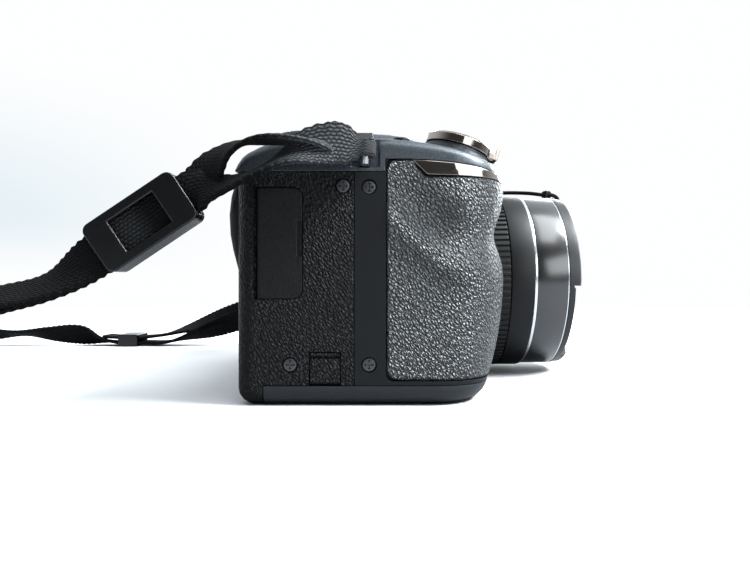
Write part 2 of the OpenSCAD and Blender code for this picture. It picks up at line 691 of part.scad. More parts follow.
// Plate of the terminal cover from x0 to x1, grown by g, with its front corners rounded
module terminal_plate(g, x0, x1) {
    low = terminal_low - g;
    high = terminal_high + g;
    front = terminal_front - g;
    r = flap_corner + g;
    span([x0, front + r, low], [x1, terminal_axis_y, high]);
    span([x0, front, low + r], [x1, front + r + 0.01, high - r]);
    for (z = [low + r, high - r]) rod_x(front + r, z, x0, x1, r);
}

module terminal_pocket() {
    terminal_plate(play, -grip_reach - 1, -grip_reach + flap_thick + play);
    translate([-grip_reach + flap_thick / 2, terminal_axis_y, terminal_low - play])
        cylinder(h = terminal_high - terminal_low + 2 * play, r = flap_thick / 2 + play);
    span([-grip_reach - 1, terminal_axis_y - 0.01, terminal_low - play],
        [-grip_reach + flap_thick / 2, terminal_rear + flap_relief, terminal_high + play]);
    for (s = sockets) span([-grip_reach, s[0] - s[2] / 2 - play, s[1] - s[3] / 2 - play],
        [-grip_reach + 10, s[0] + s[2] / 2 + play, s[1] + s[3] / 2 + play]);
}

// Sockets behind the terminal cover: y, z, width and height
sockets = [[23.6, 46, 3.4, 11.2], [23.6, 33.4, 4, 8]];
socket_deep = 7;
socket_wall = 0.4;

// Recess for the power flap
power_axis_z = base_seam + seam + flap_thick / 2;
module power_pocket() {
    span([-grip_reach - 1, power_flap_front - play, power_axis_z],
        [-grip_reach + flap_thick + play, power_flap_rear + play, power_flap_high + play]);
    span([-grip_reach - 1, power_flap_front - play, base_seam - 1],
        [-grip_reach + flap_thick + play, power_flap_rear + play, power_axis_z + 0.01]);
}

// Opening of the front cover round the lens tube
module lens_opening() {
    on_lens(-far_cut / 2) cylinder(h = far_cut, r = inner_tube + play);
}

module front_cover() {
    color("#1d1e20") difference() {
        intersection() {
            union() {
                block_form(0, grip_top + 2);
                grip_form(skin_seat, grip_top);
            }
            span([-far_cut, -far_cut, base_seam + seam / 2], [far_cut, part_line - seam / 2, far_cut]);
            under_top(seam / 2);
        }
        intersection() {
            block_form(wall, far_cut);
            span([-grip_reach + core_inset, -far_cut, -1], [far_cut, far_cut, far_cut]);
        }
        grip_form(core_inset, grip_top + 1);
        lens_opening();
        for (z = [0, 1]) difference() {
            wrap_zone(seam) if (z == 0) skin_outline(); else trim_outline();
            grip_form(skin_thick, grip_top + 1);
            if (z == 1) block_form(skin_thick, far_cut);
        }
        at_screws(true) screw_hole();
    }
}

module grip_skin() {
    color("#4a4b4d") intersection() {
        difference() {
            grip_form(0, grip_top);
            grip_form(skin_thick - skin_seat, grip_top + 1);
        }
        wrap_zone(0) skin_outline();
    }
}

module grip_trim() {
    color("#5a4f48") intersection() {
        difference() {
            grip_form(0, grip_top);
            grip_form(skin_thick - skin_seat, grip_top + 1);
        }
        wrap_zone(0) trim_outline();
    }
}

// Thumb pad on the rear face
thumb_x = -grip_reach + rear_round + 5;
thumb_half = 5;
thumb_mid = 46;
// Outline of the thumb rest from the side: share of the bulge, and height
thumb_outline = [[0, 31], [0.29, 34.3], [0.68, 39], [0.92, 43.2], [1, 48.7], [0.83, 53.5], [0.46, 57.5],
    [0, 60.2]];
module thumb_rest() {
    color("#303133") hull() sweep([for (t = [-1, -0.85, -0.5, 0, 0.5, 0.85, 1])
        let (share = sqrt(1 - 0.9 * t * t)) [for (p = thumb_outline) [thumb_x + t * thumb_half,
            rear_reach + thumb_bulge * p.x * share, thumb_mid + (p.y - thumb_mid) * (0.7 + 0.3 * share)]]]);
}

// Seat of the shutter button and the zoom ring
module on_lever() {
    translate([-lever_x, -lever_f, lever_z]) rotate([lever_tilt, 0, 0]) children();
}

stem = 2.8;
button_floor = 1.6;
button_x = -grip_reach + 6.2;
button_f = 6.8;
button_tilt = 5;
module on_button() {
    translate([button_x, -button_f, deck_top(button_f)]) rotate([button_tilt, 0, 0]) children();
}

switch_x = -grip_reach + 7;
switch_y = 16;
switch_travel = 3;
switch_size = [4, 6, 1.6];
flash_key = [-8, deck_height + 0.6];

module top_shell() {
    difference() {
        union() {
            deck_form(0);
            far_deck(0);
            hump_form(0);
        }
        difference() {
            union() {
                deck_form(wall);
                far_deck(wall);
                hump_form(wall);
            }
            on_lens(front_reach - wall) cylinder(h = far_cut, r = housing_radius + 0.5 + wall);
            span([-far_cut, -far_cut, 0], [far_cut, -grip_nose + 2, far_cut]);
        }
    }
    intersection() {
        union() {
            on_lever() translate([0, 0, -7]) cylinder(h = 7 - play, r = lever_radius - 0.4);
            on_button() translate([0, 0, -6]) cylinder(h = 5.4, r = deck_button + 1.4);
        }
        span([-far_cut, -far_cut, skin_top + 0.2], [0, far_cut, far_cut]);
        deck_and_collar();
    }
}

// Deck with the raised collar under the zoom ring
module deck_and_collar() {
    union() {
        deck_form(0.2);
        on_lever() translate([0, 0, -7]) cylinder(h = 7 - play, r = lever_radius - 0.4);
    }
}

module top_cover() {
    color("#3a3f48") difference() {
        top_shell();
        under_top(-seam / 2);
        flash_space(seam);
        on_lens(front_reach) cylinder(h = far_cut, r = housing_radius + 0.5);
        on_lever() translate([0, 0, -8]) cylinder(h = 20, r = stem + play);
        on_button() translate([0, 0, -button_floor]) cylinder(h = 6, r = deck_button + play);
        translate([-dial_x, dial_y, deck_height - 5]) cylinder(h = 10, r = 3 + play);
        translate([switch_x - switch_size.x / 2 - play, switch_y - switch_travel - switch_size.y / 2 - play,
            deck_height - 1]) cube([switch_size.x + 2 * play, switch_size.y + switch_travel + 2 * play, 4]);
        lug_pockets();
        rod_x(flash_key.x, flash_key.y, hump_half - 12, hump_half + 9, 2.6 + play);
        translate([-eye_width / 2 - 2 - play, hump_rear - 9, eye_z - eye_high / 2 - 1.6 - play])
            cube([eye_width + 4 + 2 * play, 20, eye_high + 3.2 + 2 * play]);
        diopter_slot();
    }
}

// Pockets that the strap lugs stand in
module lug_pockets() {
    for (s = [-1, 1]) {
        x = s < 0 ? -grip_reach : left_reach;
        span([min(x - s * pocket_deep, x + s * far_cut), lug_y - 3.6, lug_low],
            [max(x - s * pocket_deep, x + s * far_cut), lug_y + 3.6, lug_high - 0.4]);
        for (top = [false, true]) {
            z = top ? lug_high - lug_leg : lug_low;
            half = top ? lug_wide : lug_bar;
            span([x - 6, lug_y - half - play, z - play], [x + 6, lug_y + half + play, z + lug_leg + play]);
        }
        root = x - s * (pocket_deep + lug_root - lug_leg / 2);
        span([root - lug_leg, lug_y - lug_bar - play, lug_low - play],
            [root + lug_leg, lug_y + lug_bar + play, lug_high + play]);
    }
}

module strap_lugs() {
    color("#d5d6d8") for (s = [-1, 1]) {
        x = s < 0 ? -grip_reach : left_reach;
        root = x - s * (pocket_deep + lug_root);
        translate([x + s * lug_out, lug_y, lug_low]) cylinder(h = lug_high - lug_low, r = lug_bar);
        for (top = [false, true]) {
            z = top ? lug_high - lug_leg : lug_low;
            half = top ? lug_wide : lug_bar;
            tip = x + s * (top ? lug_out + lug_bar : lug_out);
            span([min(root, tip), lug_y - half, z], [max(root, tip), lug_y + half, z + lug_leg]);
        }
        span([min(root, root + s * lug_leg), lug_y - lug_bar, lug_low],
            [max(root, root + s * lug_leg), lug_y + lug_bar, lug_high]);
    }
}

// Base: a tray behind and beside the battery door
base_screws = [[-14, 22], [44, 20], [40, -9], [-14, 4]];
door_gap = 0.3;
tray_edge = -door_axis + door_knuckle + door_gap;
module bottom_cover() {
    color("#22252c") difference() {
        intersection() {
            block_hull(base_seam + 1);
            span([tray_edge, -far_cut, -1], [far_cut, door_rear, base_seam - seam / 2]);
        }
        span([tray_edge + 4, -front_reach + wall, wall], [left_reach - left_round, door_rear + 1, far_cut]);
        span([left_reach - left_round - 0.01, left_round - front_reach, wall],
            [left_reach - wall - 2, door_rear + 1, far_cut]);
        translate([0, tripod_y, -1]) cylinder(h = far_cut, r = bush_diameter / 2 + play);
        for (p = base_screws) translate([p.x, p.y, 0]) {
            translate([0, 0, -1]) cylinder(h = 1 + screw_deep, r = screw_radius + play);
            cylinder(h = far_cut, r = screw_shank + play / 2);
        }
    }
    color("#22252c") for (y = door_ears) hinge_ear(y);
}

// Hinge ears of the battery door stand inboard of the tray's edge
ear_thick = 3;
door_ears = [-9, 22];
module hinge_ear(y) {
    difference() {
        union() {
            rod_y(-door_axis, door_knuckle, y, y + ear_thick, door_knuckle - 0.2);
            span([-door_axis, y, door_knuckle - 1], [tray_edge + 1, y + ear_thick, door_knuckle + 1]);
        }
        rod_y(-door_axis, door_knuckle, y - 1, y + ear_thick + 1, door_pin);
    }
}

module battery_hinge_pin() {
    color("#c9cacc")
        rod_y(-door_axis, door_knuckle, door_ears[0] - 3, door_ears[1] + ear_thick + 2, door_pin);
}

module battery_door() {
    color("#22252c") difference() {
        union() {
            intersection() {
                union() {
                    block_form(0, base_seam + 1);
                    grip_form(0, base_seam + 1);
                }
                span([-far_cut, -far_cut, -1], [-door_axis, door_rear, base_seam - seam / 2]);
            }
            rod_y(-door_axis, door_knuckle, door_ears[0] - 4, door_ears[1] + ear_thick + 3, door_knuckle);
        }
        difference() {
            union() {
                block_form(wall, far_cut);
                grip_form(wall, far_cut);
            }
            span([-door_axis - 4, -far_cut, -1], [far_cut, far_cut, far_cut]);
            span([-far_cut, door_rear - wall, -1], [far_cut, far_cut, far_cut]);
        }
        span([-door_axis - door_knuckle - door_gap, -far_cut, 2 * door_knuckle], [far_cut, far_cut, far_cut]);
        span([-door_axis, -far_cut, -1], [far_cut, door_ears[0] - 4, far_cut]);
        span([-door_axis, door_ears[1] + ear_thick + 3, -1], [far_cut, far_cut, far_cut]);
        for (y = door_ears) span([-door_axis - door_knuckle - door_gap, y - door_gap, -1],
            [far_cut, y + ear_thick + door_gap, far_cut]);
        rod_y(-door_axis, door_knuckle, -far_cut / 2, far_cut / 2, door_pin + 0.1);
        latch_slot(play);
    }
}

latch_place = [-56, -10];
latch_size = [6, 12, 1];
latch_travel = 3;
module latch_slot(g) {
    span([latch_place.x - latch_size.x / 2 - g, latch_place.y - latch_size.y / 2 - g, -1],
        [latch_place.x + latch_size.x / 2 + latch_travel + g, latch_place.y + latch_size.y / 2 + g,
            latch_size.z + g]);
}

module battery_latch() {
    color("#1a1b1d") difference() {
        span([latch_place.x - latch_size.x / 2, latch_place.y - latch_size.y / 2, 0.3],
            [latch_place.x + latch_size.x / 2, latch_place.y + latch_size.y / 2, latch_size.z]);
        for (x = [-2 : 1 : 2]) span([latch_place.x + x - 0.25, latch_place.y - 4, 0],
            [latch_place.x + x + 0.25, latch_place.y + 4, 0.5]);
    }
}

module case_screw() {
    difference() {
        union() {
            translate([0, 0, -screw_deep]) cylinder(h = 0.8, r = screw_radius);
            translate([0, 0, -screw_long]) cylinder(h = screw_long - screw_deep, r = screw_shank);
        }
        for (a = [0, 90]) rotate([0, 0, a]) translate([-1.1, -0.22, -0.8]) cube([2.2, 0.44, 2]);
    }
}

module case_screws() {
    color("#303134") {
        at_screws(true) case_screw();
        at_screws(false) case_screw();
        for (p = base_screws) translate([p.x, p.y, 0]) rotate([180, 0, 0]) case_screw();
    }
}

// Screen window, screen and viewfinder
module lcd_window() {
    color("#0b0c0e")
        span([screen_x - screen_width / 2, rear_reach - screen_thick, screen_z - screen_high / 2],
            [screen_x + screen_width / 2, rear_reach, screen_z + screen_high / 2]);
}

module lcd_module() {
    back = rear_reach - screen_thick - screen_deep;
    color("#8f9296") difference() {
        span([screen_x - screen_width / 2, back, screen_z - screen_high / 2],
            [screen_x + screen_width / 2, rear_reach - screen_thick, screen_z + screen_high / 2]);
        span([screen_x - 12, back - 1, screen_z - 8], [screen_x + 12, back + 1, screen_z + 8]);
    }
}

eye_front = hump_rear - 9;
module eyecup() {
    color("#161719") difference() {
        hull() for (s = [-1, 1], t = [-1, 1]) {
            translate([s * (eye_width / 2 + 0.5), hump_rear + 2.6, eye_z + t * (eye_high / 2 + 0.1)])
                rotate([90, 0, 0]) cylinder(h = 8, r = 1.5, $fn = hull_fn);
        }
        span([-eye_width / 2, 0, eye_z - eye_high / 2], [eye_width / 2, far_cut, eye_z + eye_high / 2]);
    }
}

module eyepiece_glass() {
    color("#1a2430") span([-eye_width / 2 + 0.2, hump_rear - 5, eye_z - eye_high / 2 + 0.2],
        [eye_width / 2 - 0.2, hump_rear - 3.4, eye_z + eye_high / 2 - 0.2]);
}

module evf_module() {
    color("#3c3e42") difference() {
        span([-eye_width / 2 - 1, 12, eye_z - eye_high / 2 - 1],
            [eye_width / 2 + 1, hump_rear - 5.6, eye_z + eye_high / 2 - 1]);
        span([-eye_width / 2 + 2, 20, eye_z - eye_high / 2 + 1],
            [eye_width / 2 - 2, far_cut, eye_z + eye_high / 2 - 3]);
    }
    color("#3c3e42")
        span([-eye_width / 2 + 1, 13, evf_foot], [eye_width / 2 - 1, 24, eye_z - eye_high / 2 - 1]);
}

// Dioptre wheel beside the eyepiece, half sunk in the hump's side
diopter_radius = 4;
diopter_place = [hump_top_half + 3.5, 29, deck_height + 2.6];
module diopter_slot() {
    translate(diopter_place - [0, 0, 1.5 + play]) cylinder(h = 3 + 2 * play, r = diopter_radius + 0.4);
}

module diopter_dial() {
    color("#26282b") translate(diopter_place - [0, 0, 1.5])
        linear_extrude(3) difference() {
            toothed(diopter_radius, 0.2, 24);
            circle(0.8);
        }
}

// Round outline with n shallow teeth
module toothed(r, deep, n) {
    polygon([for (i = [0 : 2 * n - 1]) let (a = 180 * (i + 0.5) / n, q = i % 2 == 0 ? r : r - deep) each
        [[q * cos(a - 45 / n), q * sin(a - 45 / n)], [q * cos(a + 45 / n), q * sin(a + 45 / n)]]]);
}

// Lens
module lens_housing() {
    color("#1b1c1e") on_lens(0) rotate_extrude() polygon([
        [inner_tube - 1.5, -tube_rear], [inner_tube, -tube_rear], [inner_tube, front_reach],
        [housing_radius - 0.8, front_reach], [housing_radius - 0.8, rib_front],
        [housing_radius, rib_front], [housing_radius, housing_front], [housing_bore, housing_front],
        [housing_bore, front_reach + web], [inner_tube - 1.5, front_reach + web]]);
}

module lens_grip_ring() {
    color("#141517") on_lens(rib_rear) linear_extrude(rib_front - rib_rear - 0.1) difference() {
        toothed(housing_radius + 0.1, rib_height, rib_count);
        circle(housing_radius - 0.75, $fn = 2 * rib_count);
    }
}

module lens_trim_ring() {
    color("#e4e5e7") lens_ring(housing_front, band_rear - 0.1, housing_radius - 0.3, housing_bore);
}

module lens_base() {
    color("#26272a") difference() {
        on_lens(-tube_rear - base_plate) cylinder(h = base_plate, r = inner_tube);
        span([-5, 0, lens_height - 4], [5, far_cut, lens_height + 4]);
    }
}

module image_sensor() {
    y = tube_rear + base_plate;
    color("#3a6b52") span([-10, y, lens_height - 9], [10, y + sensor_deep, lens_height + 9]);
    color("#20222a") span([-4, y - 1, lens_height - 3], [4, y, lens_height + 3]);
}

module barrel_middle() {
    color("#1a1b1d") lens_ring(barrel_rear, housing_front - 0.4, mid_radius, mid_bore);
}

module zoom_glass() {
    r = inner_tube - 1.5 - play;
    color("#9fb6c4") on_lens(2) rotate_extrude() polygon(concat(
        [for (x = [0 : 4 : r]) [x, -2 - dome(x, r, 40)]], [[r, -2], [r, 2]],
        [for (x = [r - 2 : -4 : 0]) [x, 2 + dome(x, r, 40)]], [[0, 2 + dome(0, r, 40)]]));
}

// Height of a spherical cap of radius s and edge r at distance x from its axis
function dome(x, r, s) = sqrt(s * s - x * x) - sqrt(s * s - r * r);

module barrel_front() {
    color("#0d0e10") on_lens(0) rotate_extrude() polygon([
        [front_bore, barrel_rear], [front_tube, barrel_rear], [front_tube, band_rear],
        [band_radius, band_rear], [band_radius, band_front], [band_bore, band_front],
        [band_bore, bezel_rear], [front_bore, bezel_rear]]);
}

bezel_bore = 18.7;
module front_bezel() {
    color("#17181a") on_lens(0) rotate_extrude() polygon([
        [bezel_bore, bezel_rear], [band_bore - 0.1, bezel_rear], [band_bore - 0.1, bezel_front],
        [bezel_bore + 3, bezel_front - 0.6], [bezel_bore, bezel_rear + 0.6]]);
}

module front_glass() {
    r = bezel_bore - 0.3;
    color("#8fa3c0") on_lens(bezel_rear) rotate_extrude() polygon(concat(
        [[0, -4.6], [front_bore - play, -4.6], [front_bore - play, 0]],
        [for (x = [r : -3 : 0.5]) [x, dome(x, r, 110)]], [[0, dome(0, r, 110)]]));
}

// Lens cap with two pinch tabs
module cap_sector(r0, r1, f0, f1, sweep) {
    on_lens(f0) intersection() {
        difference() {
            cylinder(h = f1 - f0, r = r1);
            translate([0, 0, -1]) cylinder(h = f1 - f0 + 2, r = r0);
        }
        linear_extrude(f1 - f0) polygon([[0, 0], for (a = [-sweep / 2, -sweep / 4, 0, sweep / 4, sweep / 2])
            60 * [cos(a), sin(a)]]);
    }
}

// Turns a piece drawn on the +X side of the lens axis to one of the two tab directions
module at_tab(near) {
    translate([0, 0, lens_height]) rotate([0, near ? 180 - tab_drop : -tab_drop, 0])
        translate([0, 0, -lens_height]) children();
}

module lens_cap() {
    color("#2a2b2e") difference() {
        union() {
            on_lens(cap_rear) cylinder(h = cap_disc, r = cap_radius);
            on_lens(cap_mid) cylinder(h = cap_raise - 0.6, r = cap_radius - 0.3);
            on_lens(cap_front - 0.6) cylinder(h = 0.6, r1 = cap_radius - 0.3, r2 = cap_radius - 1.1);
            lens_ring(cap_rear - 1, cap_rear, band_bore - play, band_bore - 1.6);
            translate([2.5, -cap_mid, lens_height + cap_radius - 1.6]) rotate([90, 0, 0])
                cylinder(h = cap_raise + 0.5, r = 2.4);
        }
        for (near = [true, false]) at_tab(near) {
            cap_sector(tab_inner - tab_travel - 0.5, far_cut, cap_mid, cap_front + 2, tab_sweep + 3);
            span([tab_inner - tab_travel, -cap_mid - 1, lens_height - tab_key - play],
                [tab_inner + 3 + play, 0, lens_height + tab_key + play]);
        }
        translate([2.5, 0, lens_height + cap_radius - 0.9]) rotate([90, 0, 0]) cylinder(h = far_cut, r = 1);
    }
}

module cap_tab(near) {
    color("#2a2b2e") at_tab(near) {
        cap_sector(tab_inner, cap_radius - 0.6, cap_mid + 0.1, cap_mid + tab_rim, tab_sweep);
        cap_sector(tab_inner, tab_inner + tab_grip, cap_mid + tab_rim - 0.01, cap_front - 0.3, tab_sweep);
        span([tab_inner, -cap_mid - 0.11, lens_height - tab_key],
            [tab_inner + 3, -cap_rear - 0.2, lens_height + tab_key]);
    }
}

module cap_tab_near() {
    cap_tab(true);
}

module cap_tab_far() {
    cap_tab(false);
}

// Inside
evf_foot = top_seam + 3;
chassis_legs = [-14, 28];
module chassis() {
    y1 = chassis_y + chassis_thick;
    color("#9a9da1") difference() {
        union() {
            span([-27, chassis_y, base_seam + play], [left_reach - 6, y1, top_seam - 1]);
            for (x = chassis_legs) span([x, chassis_y, wall], [x + 5, y1, base_seam + 1]);
        }
        span([20, chassis_y - 1, 40], [left_reach - 14, y1 + 1, top_seam - 6]);
        translate([0, tripod_y, -1]) cylinder(h = thread_deep + 2 + 2 * play, r = bush_diameter / 2 + play);
    }
    color("#9a9da1") for (x = [-23, left_reach - 12], z = [8, top_seam - 6])
        rod_y(x, z, y1 - 0.01, board_y, 1.8);
    color("#9a9da1") span([-14, chassis_y, top_seam - 1.01], [14, y1, evf_foot - 1.2]);
    color("#9a9da1") span([-14, chassis_y - 1, evf_foot - 1.21], [14, 25, evf_foot]);
}

module battery_box() {
    color("#2f3033") difference() {
        union() for (p = cell_places) translate([p.x, p.y, cell_low - 0.6])
            cylinder(h = box_high + box_top - cell_low + 0.6, r = cell_bore + box_wall);
        for (p = cell_places) translate([p.x, p.y, cell_low - 2])
            cylinder(h = box_high - cell_low + 2, r = cell_bore);
    }
}

module battery_cells() {
    color("#b08d3c") for (p = cell_places) translate([p.x, p.y, cell_low]) {
        cylinder(h = cell_length - 1.5, r = cell_diameter / 2);
        cylinder(h = cell_length, r = 2.75);
    }
}

module main_board() {
    back = board_y + board_thick;
    color("#1f5b3a") span([-27, board_y, thread_deep + 2], [left_reach - 8, back, top_seam - 3]);
    color("#2a2b2e") for (c = [[-10, 40, 14], [12, 22, 12], [26, 44, 9]])
        span([c.x, back - 0.01, c.y - c.z / 2], [c.x + c.z, back + 1.4, c.y + c.z / 2]);
}

module flash_capacitor() {
    color("#20242c") translate([left_reach - 12, 2, wall]) cylinder(h = 34, r = capacitor_radius);
}

module zoom_motor() {
    reach = inner_tube + motor_radius + play;
    x = reach * cos(40);
    z = lens_height + reach * sin(40);
    color("#b9bbbe") {
        rod_y(x, z, -4, chassis_y - play, motor_radius);
        rod_y(x, z, -9, -3.99, 1);
    }
}

module tripod_socket() {
    color("#c2c4c7") difference() {
        translate([0, tripod_y, 0]) cylinder(h = thread_deep + 1, r = bush_diameter / 2);
        translate([0, tripod_y, -1]) cylinder(h = thread_deep + 1, r = thread_diameter / 2);
    }
}

// Terminal cover with a full-round hinge edge
module terminal_cover() {
    notch = [(terminal_low + terminal_high) / 2 - 3.4, (terminal_low + terminal_high) / 2 + 5.4];
    color("#2d2e30") difference() {
        union() {
            terminal_plate(0, -grip_reach, -grip_reach + flap_thick);
            translate([-grip_reach + flap_thick / 2, terminal_axis_y, terminal_low])
                cylinder(h = terminal_high - terminal_low, r = flap_thick / 2);
        }
        translate([-grip_reach - 0.4, terminal_front, notch[0]]) cylinder(h = notch[1] - notch[0], r = 1.4);
    }
}

module terminal_sockets() {
    color("#b4b6b9") for (s = sockets) difference() {
        span([-grip_reach + flap_thick + play, s[0] - s[2] / 2, s[1] - s[3] / 2],
            [-grip_reach + flap_thick + play + socket_deep, s[0] + s[2] / 2, s[1] + s[3] / 2]);
        span([-grip_reach, s[0] - s[2] / 2 + socket_wall, s[1] - s[3] / 2 + socket_wall],
            [-grip_reach + flap_thick + socket_deep - 1, s[0] + s[2] / 2 - socket_wall,
                s[1] + s[3] / 2 - socket_wall]);
    }
}

module dc_flap() {
    color("#292a2c") difference() {
        union() {
            span([-grip_reach, power_flap_front, power_axis_z],
                [-grip_reach + flap_thick, power_flap_rear, power_flap_high]);
            rod_y(-grip_reach + flap_thick / 2, power_axis_z, power_flap_front, power_flap_rear,
                flap_thick / 2);
        }
        span([-grip_reach - 1, power_flap_front - 1, power_flap_high - 1.4],
            [-grip_reach + 0.5, power_flap_rear + 1, power_flap_high - 0.9]);
    }
}

// Top controls
module mode_dial() {
    color("#1c1d20") translate([-dial_x, dial_y, deck_height + 0.3]) {
        linear_extrude(dial_tall - 0.8) toothed(dial_radius, 0.35, dial_teeth);
        translate([0, 0, dial_tall - 0.81])
            cylinder(h = 0.81, r1 = dial_radius - 0.4, r2 = dial_radius - 1.2);
        translate([0, 0, -4]) cylinder(h = 4.1, r = 3);
    }
}

module power_switch() {
    color("#1a1b1d") difference() {
        translate([switch_x, switch_y, deck_height - 0.9 + switch_size.z / 2])
            cube(switch_size, center = true);
        for (y = [-1.6 : 0.8 : 1.6])
            translate([switch_x - 3, switch_y + y - 0.2, deck_height + 0.4]) cube([6, 0.4, 2]);
    }
}

module zoom_lever() {
    color("#4a4039") on_lever() difference() {
        union() {
            cylinder(h = lever_tall - 0.6, r = lever_radius);
            translate([0, 0, lever_tall - 0.61])
                cylinder(h = 0.61, r1 = lever_radius, r2 = lever_radius - 0.7);
            translate([-2.2, -lever_radius - 1.8, 0.1]) cube([4.4, 4, 1.6]);
            translate([-2.2, -lever_radius - 2, 0.1]) cube([4.4, 1, 3.2]);
        }
        translate([0, 0, -1]) cylinder(h = lever_tall + 2, r = shutter_radius + 2 * play);
    }
}

shutter_travel = 1.2;
module shutter_button() {
    color("#d8d9db") on_lever() {
        translate([0, 0, shutter_travel + 0.2]) cylinder(h = lever_tall - shutter_travel, r = shutter_radius);
        translate([0, 0, lever_tall + 0.19])
            cylinder(h = 0.4, r1 = shutter_radius, r2 = shutter_radius - 0.8);
        translate([0, 0, -3]) cylinder(h = 3.4 + shutter_travel, r = stem);
    }
}

module burst_button() {
    color("#17181a") on_button() translate([0, 0, -0.8]) {
        cylinder(h = 1.7, r = deck_button);
        translate([0, 0, 1.69]) cylinder(h = 0.3, r1 = deck_button, r2 = deck_button - 0.4);
    }
}

// Flash head: the hump's own form, cut at the flash seam, with a lamp housing under it
lamp_f = 11;
lamp_z = flash_seam - 1.7;
module lamp_place() {
    translate([0, -lamp_f, lamp_z]) rotate([flash_open, 0, 0]) children();
}

module flash_head() {
    color("#3a3f48") difference() {
        union() {
            intersection() {
                hump_form(0);
                flash_space(0);
            }
            lamp_place() translate([-flash_width / 2 - 1, -3.4, -4.2]) cube([flash_width + 2, 8, 8.4]);
        }
        difference() {
            intersection() {
                hump_form(wall);
                span([-far_cut, -far_cut, flash_seam - 1], [far_cut, -flash_axis - 5, far_cut]);
                span([-far_cut, -far_cut, 0], [far_cut, far_cut, flash_seam + 2.5]);
            }
            lamp_place() translate([-flash_width / 2 - 2, -6, -6]) cube([flash_width + 4, 14, 12]);
        }
        lamp_place() translate([-flash_width / 2, -4, -3.2]) cube([flash_width, 4, 6.4]);
        rod_x(-flash_axis, flash_axis_z, -far_cut / 2, far_cut / 2, flash_bore);
    }
}

module flash_pin() {
    color("#9a9da1") rod_x(-flash_axis, flash_axis_z, -hump_top_half, hump_top_half, flash_bore - play / 2);
}

module flash_window() {
    color("#c9cdd2") lamp_place() translate([-flash_width / 2 + play, -3.4, -3])
        cube([flash_width - 2 * play, 1.4, 6]);
}

module flash_button() {
    color("#17181a") rod_x(flash_key.x, flash_key.y, hump_half - 9, hump_half - 2.8, 2.6);
}

// Rear controls
module rear_button(place, r) {
    rod_y(place.x, place.y, rear_reach - wall - 0.4, rear_reach + button_proud, r);
    rod_y(place.x, place.y, rear_reach - wall - 1.6, rear_reach - wall - 0.39, r + 0.6);
}

module movie_button() {
    color("#a3242a") rear_button(movie_place, small_button);
}

module playback_button() {
    color("#1b1c1e") rear_button(playback_place, small_button);
}

module selector_pad() {
    color("#1b1c1e") difference() {
        union() {
            rear_button(selector_place, selector_radius);
            rod_x(rear_reach - wall - 1, selector_place.y, selector_place.x - selector_radius - 1.6,
                selector_place.x + selector_radius + 1.6, 0.55);
        }
        rod_y(selector_place.x, selector_place.y, 0, far_cut, ok_radius + play);
    }
}

module ok_button() {
    color("#26272a") rod_y(selector_place.x, selector_place.y, rear_reach - wall - 1.6,
        rear_reach + button_proud + 0.3, ok_radius);
}

// Strap and cap cord
module strap_near() {
    color("#17181a") webbing(near_route);
}

module strap_far() {
    color("#17181a") webbing(far_route);
}

module strap_roll() {
    color("#17181a") webbing(roll_route);
}

// Slider: a moulded sleeve with a window, drawn along Y
module slider() {
    difference() {
        hull() for (s = [-1, 1], t = [-1, 1])
            translate([-slider_thick / 2, s * (slider_length / 2 - 2), t * (slider_width / 2 - 2)])
                rotate([0, 90, 0]) cylinder(h = slider_thick, r = 2, $fn = hull_fn);
        cube([2 * strap_thick + 1.4, far_cut, strap_width + 0.8], center = true);
        translate([-slider_thick, -slider_length / 4, -strap_width * 0.42])
            cube([slider_thick, slider_length / 2, strap_width * 0.84]);
    }
}

module strap_sliders() {
    color("#0f1012") {
        translate(near_slider) rotate([-near_fall, 0, 0]) slider();
        translate(far_slider) rotate([-far_fall, 0, 0]) mirror([1, 0, 0]) slider();
        translate(keeper_place) difference() {
            span([-strap_width / 2 - 1.6, 0, 0], [strap_width / 2 + 1.6, keeper_length, keeper_high]);
            span([-strap_width / 2 - 0.4, -1, 0.4],
                [strap_width / 2 + 0.4, keeper_length + 1, keeper_high - 0.7]);
        }
    }
}

module cap_tether() {
    color("#0f1012") sweep([for (i = [0 : len(tether_route) - 1])
        round_section(tether_route[i], heading(tether_route, i), tether_radius)]);
}

rear_cover();
front_cover();
grip_skin();
grip_trim();
thumb_rest();
top_cover();
bottom_cover();
case_screws();
strap_lugs();
lcd_window();
lcd_module();
eyecup();
eyepiece_glass();
evf_module();
diopter_dial();
lens_housing();
lens_grip_ring();
lens_trim_ring();
lens_base();
image_sensor();
barrel_middle();
zoom_glass();
barrel_front();
front_bezel();
front_glass();
lens_cap();
cap_tab_near();
cap_tab_far();
chassis();
battery_box();
battery_cells();
main_board();
flash_capacitor();
zoom_motor();
tripod_socket();
terminal_cover();
terminal_sockets();
dc_flap();
battery_door();
battery_hinge_pin();
battery_latch();
mode_dial();
power_switch();
zoom_lever();
shutter_button();
burst_button();
flash_head();
flash_pin();
flash_window();
flash_button();
movie_button();
playback_button();
selector_pad();
ok_button();
strap_near();
strap_roll();
strap_far();
strap_sliders();
cap_tether();
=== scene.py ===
# %% [markdown]
# # A bridge camera, dressed over its solids
# The solids of this camera come from its CAD source. This file gives them their looks:
# smoother edges, leather grain, woven webbing, glossy rings, and the light and the view of the photograph.
# Each cell makes one thing and prints what it made, so the file can be read and run from top to bottom.

# %% Load the imported solids
import json
import math
from contextlib import contextmanager

import bmesh
import bpy
import numpy as np
from mathutils import Matrix, Vector


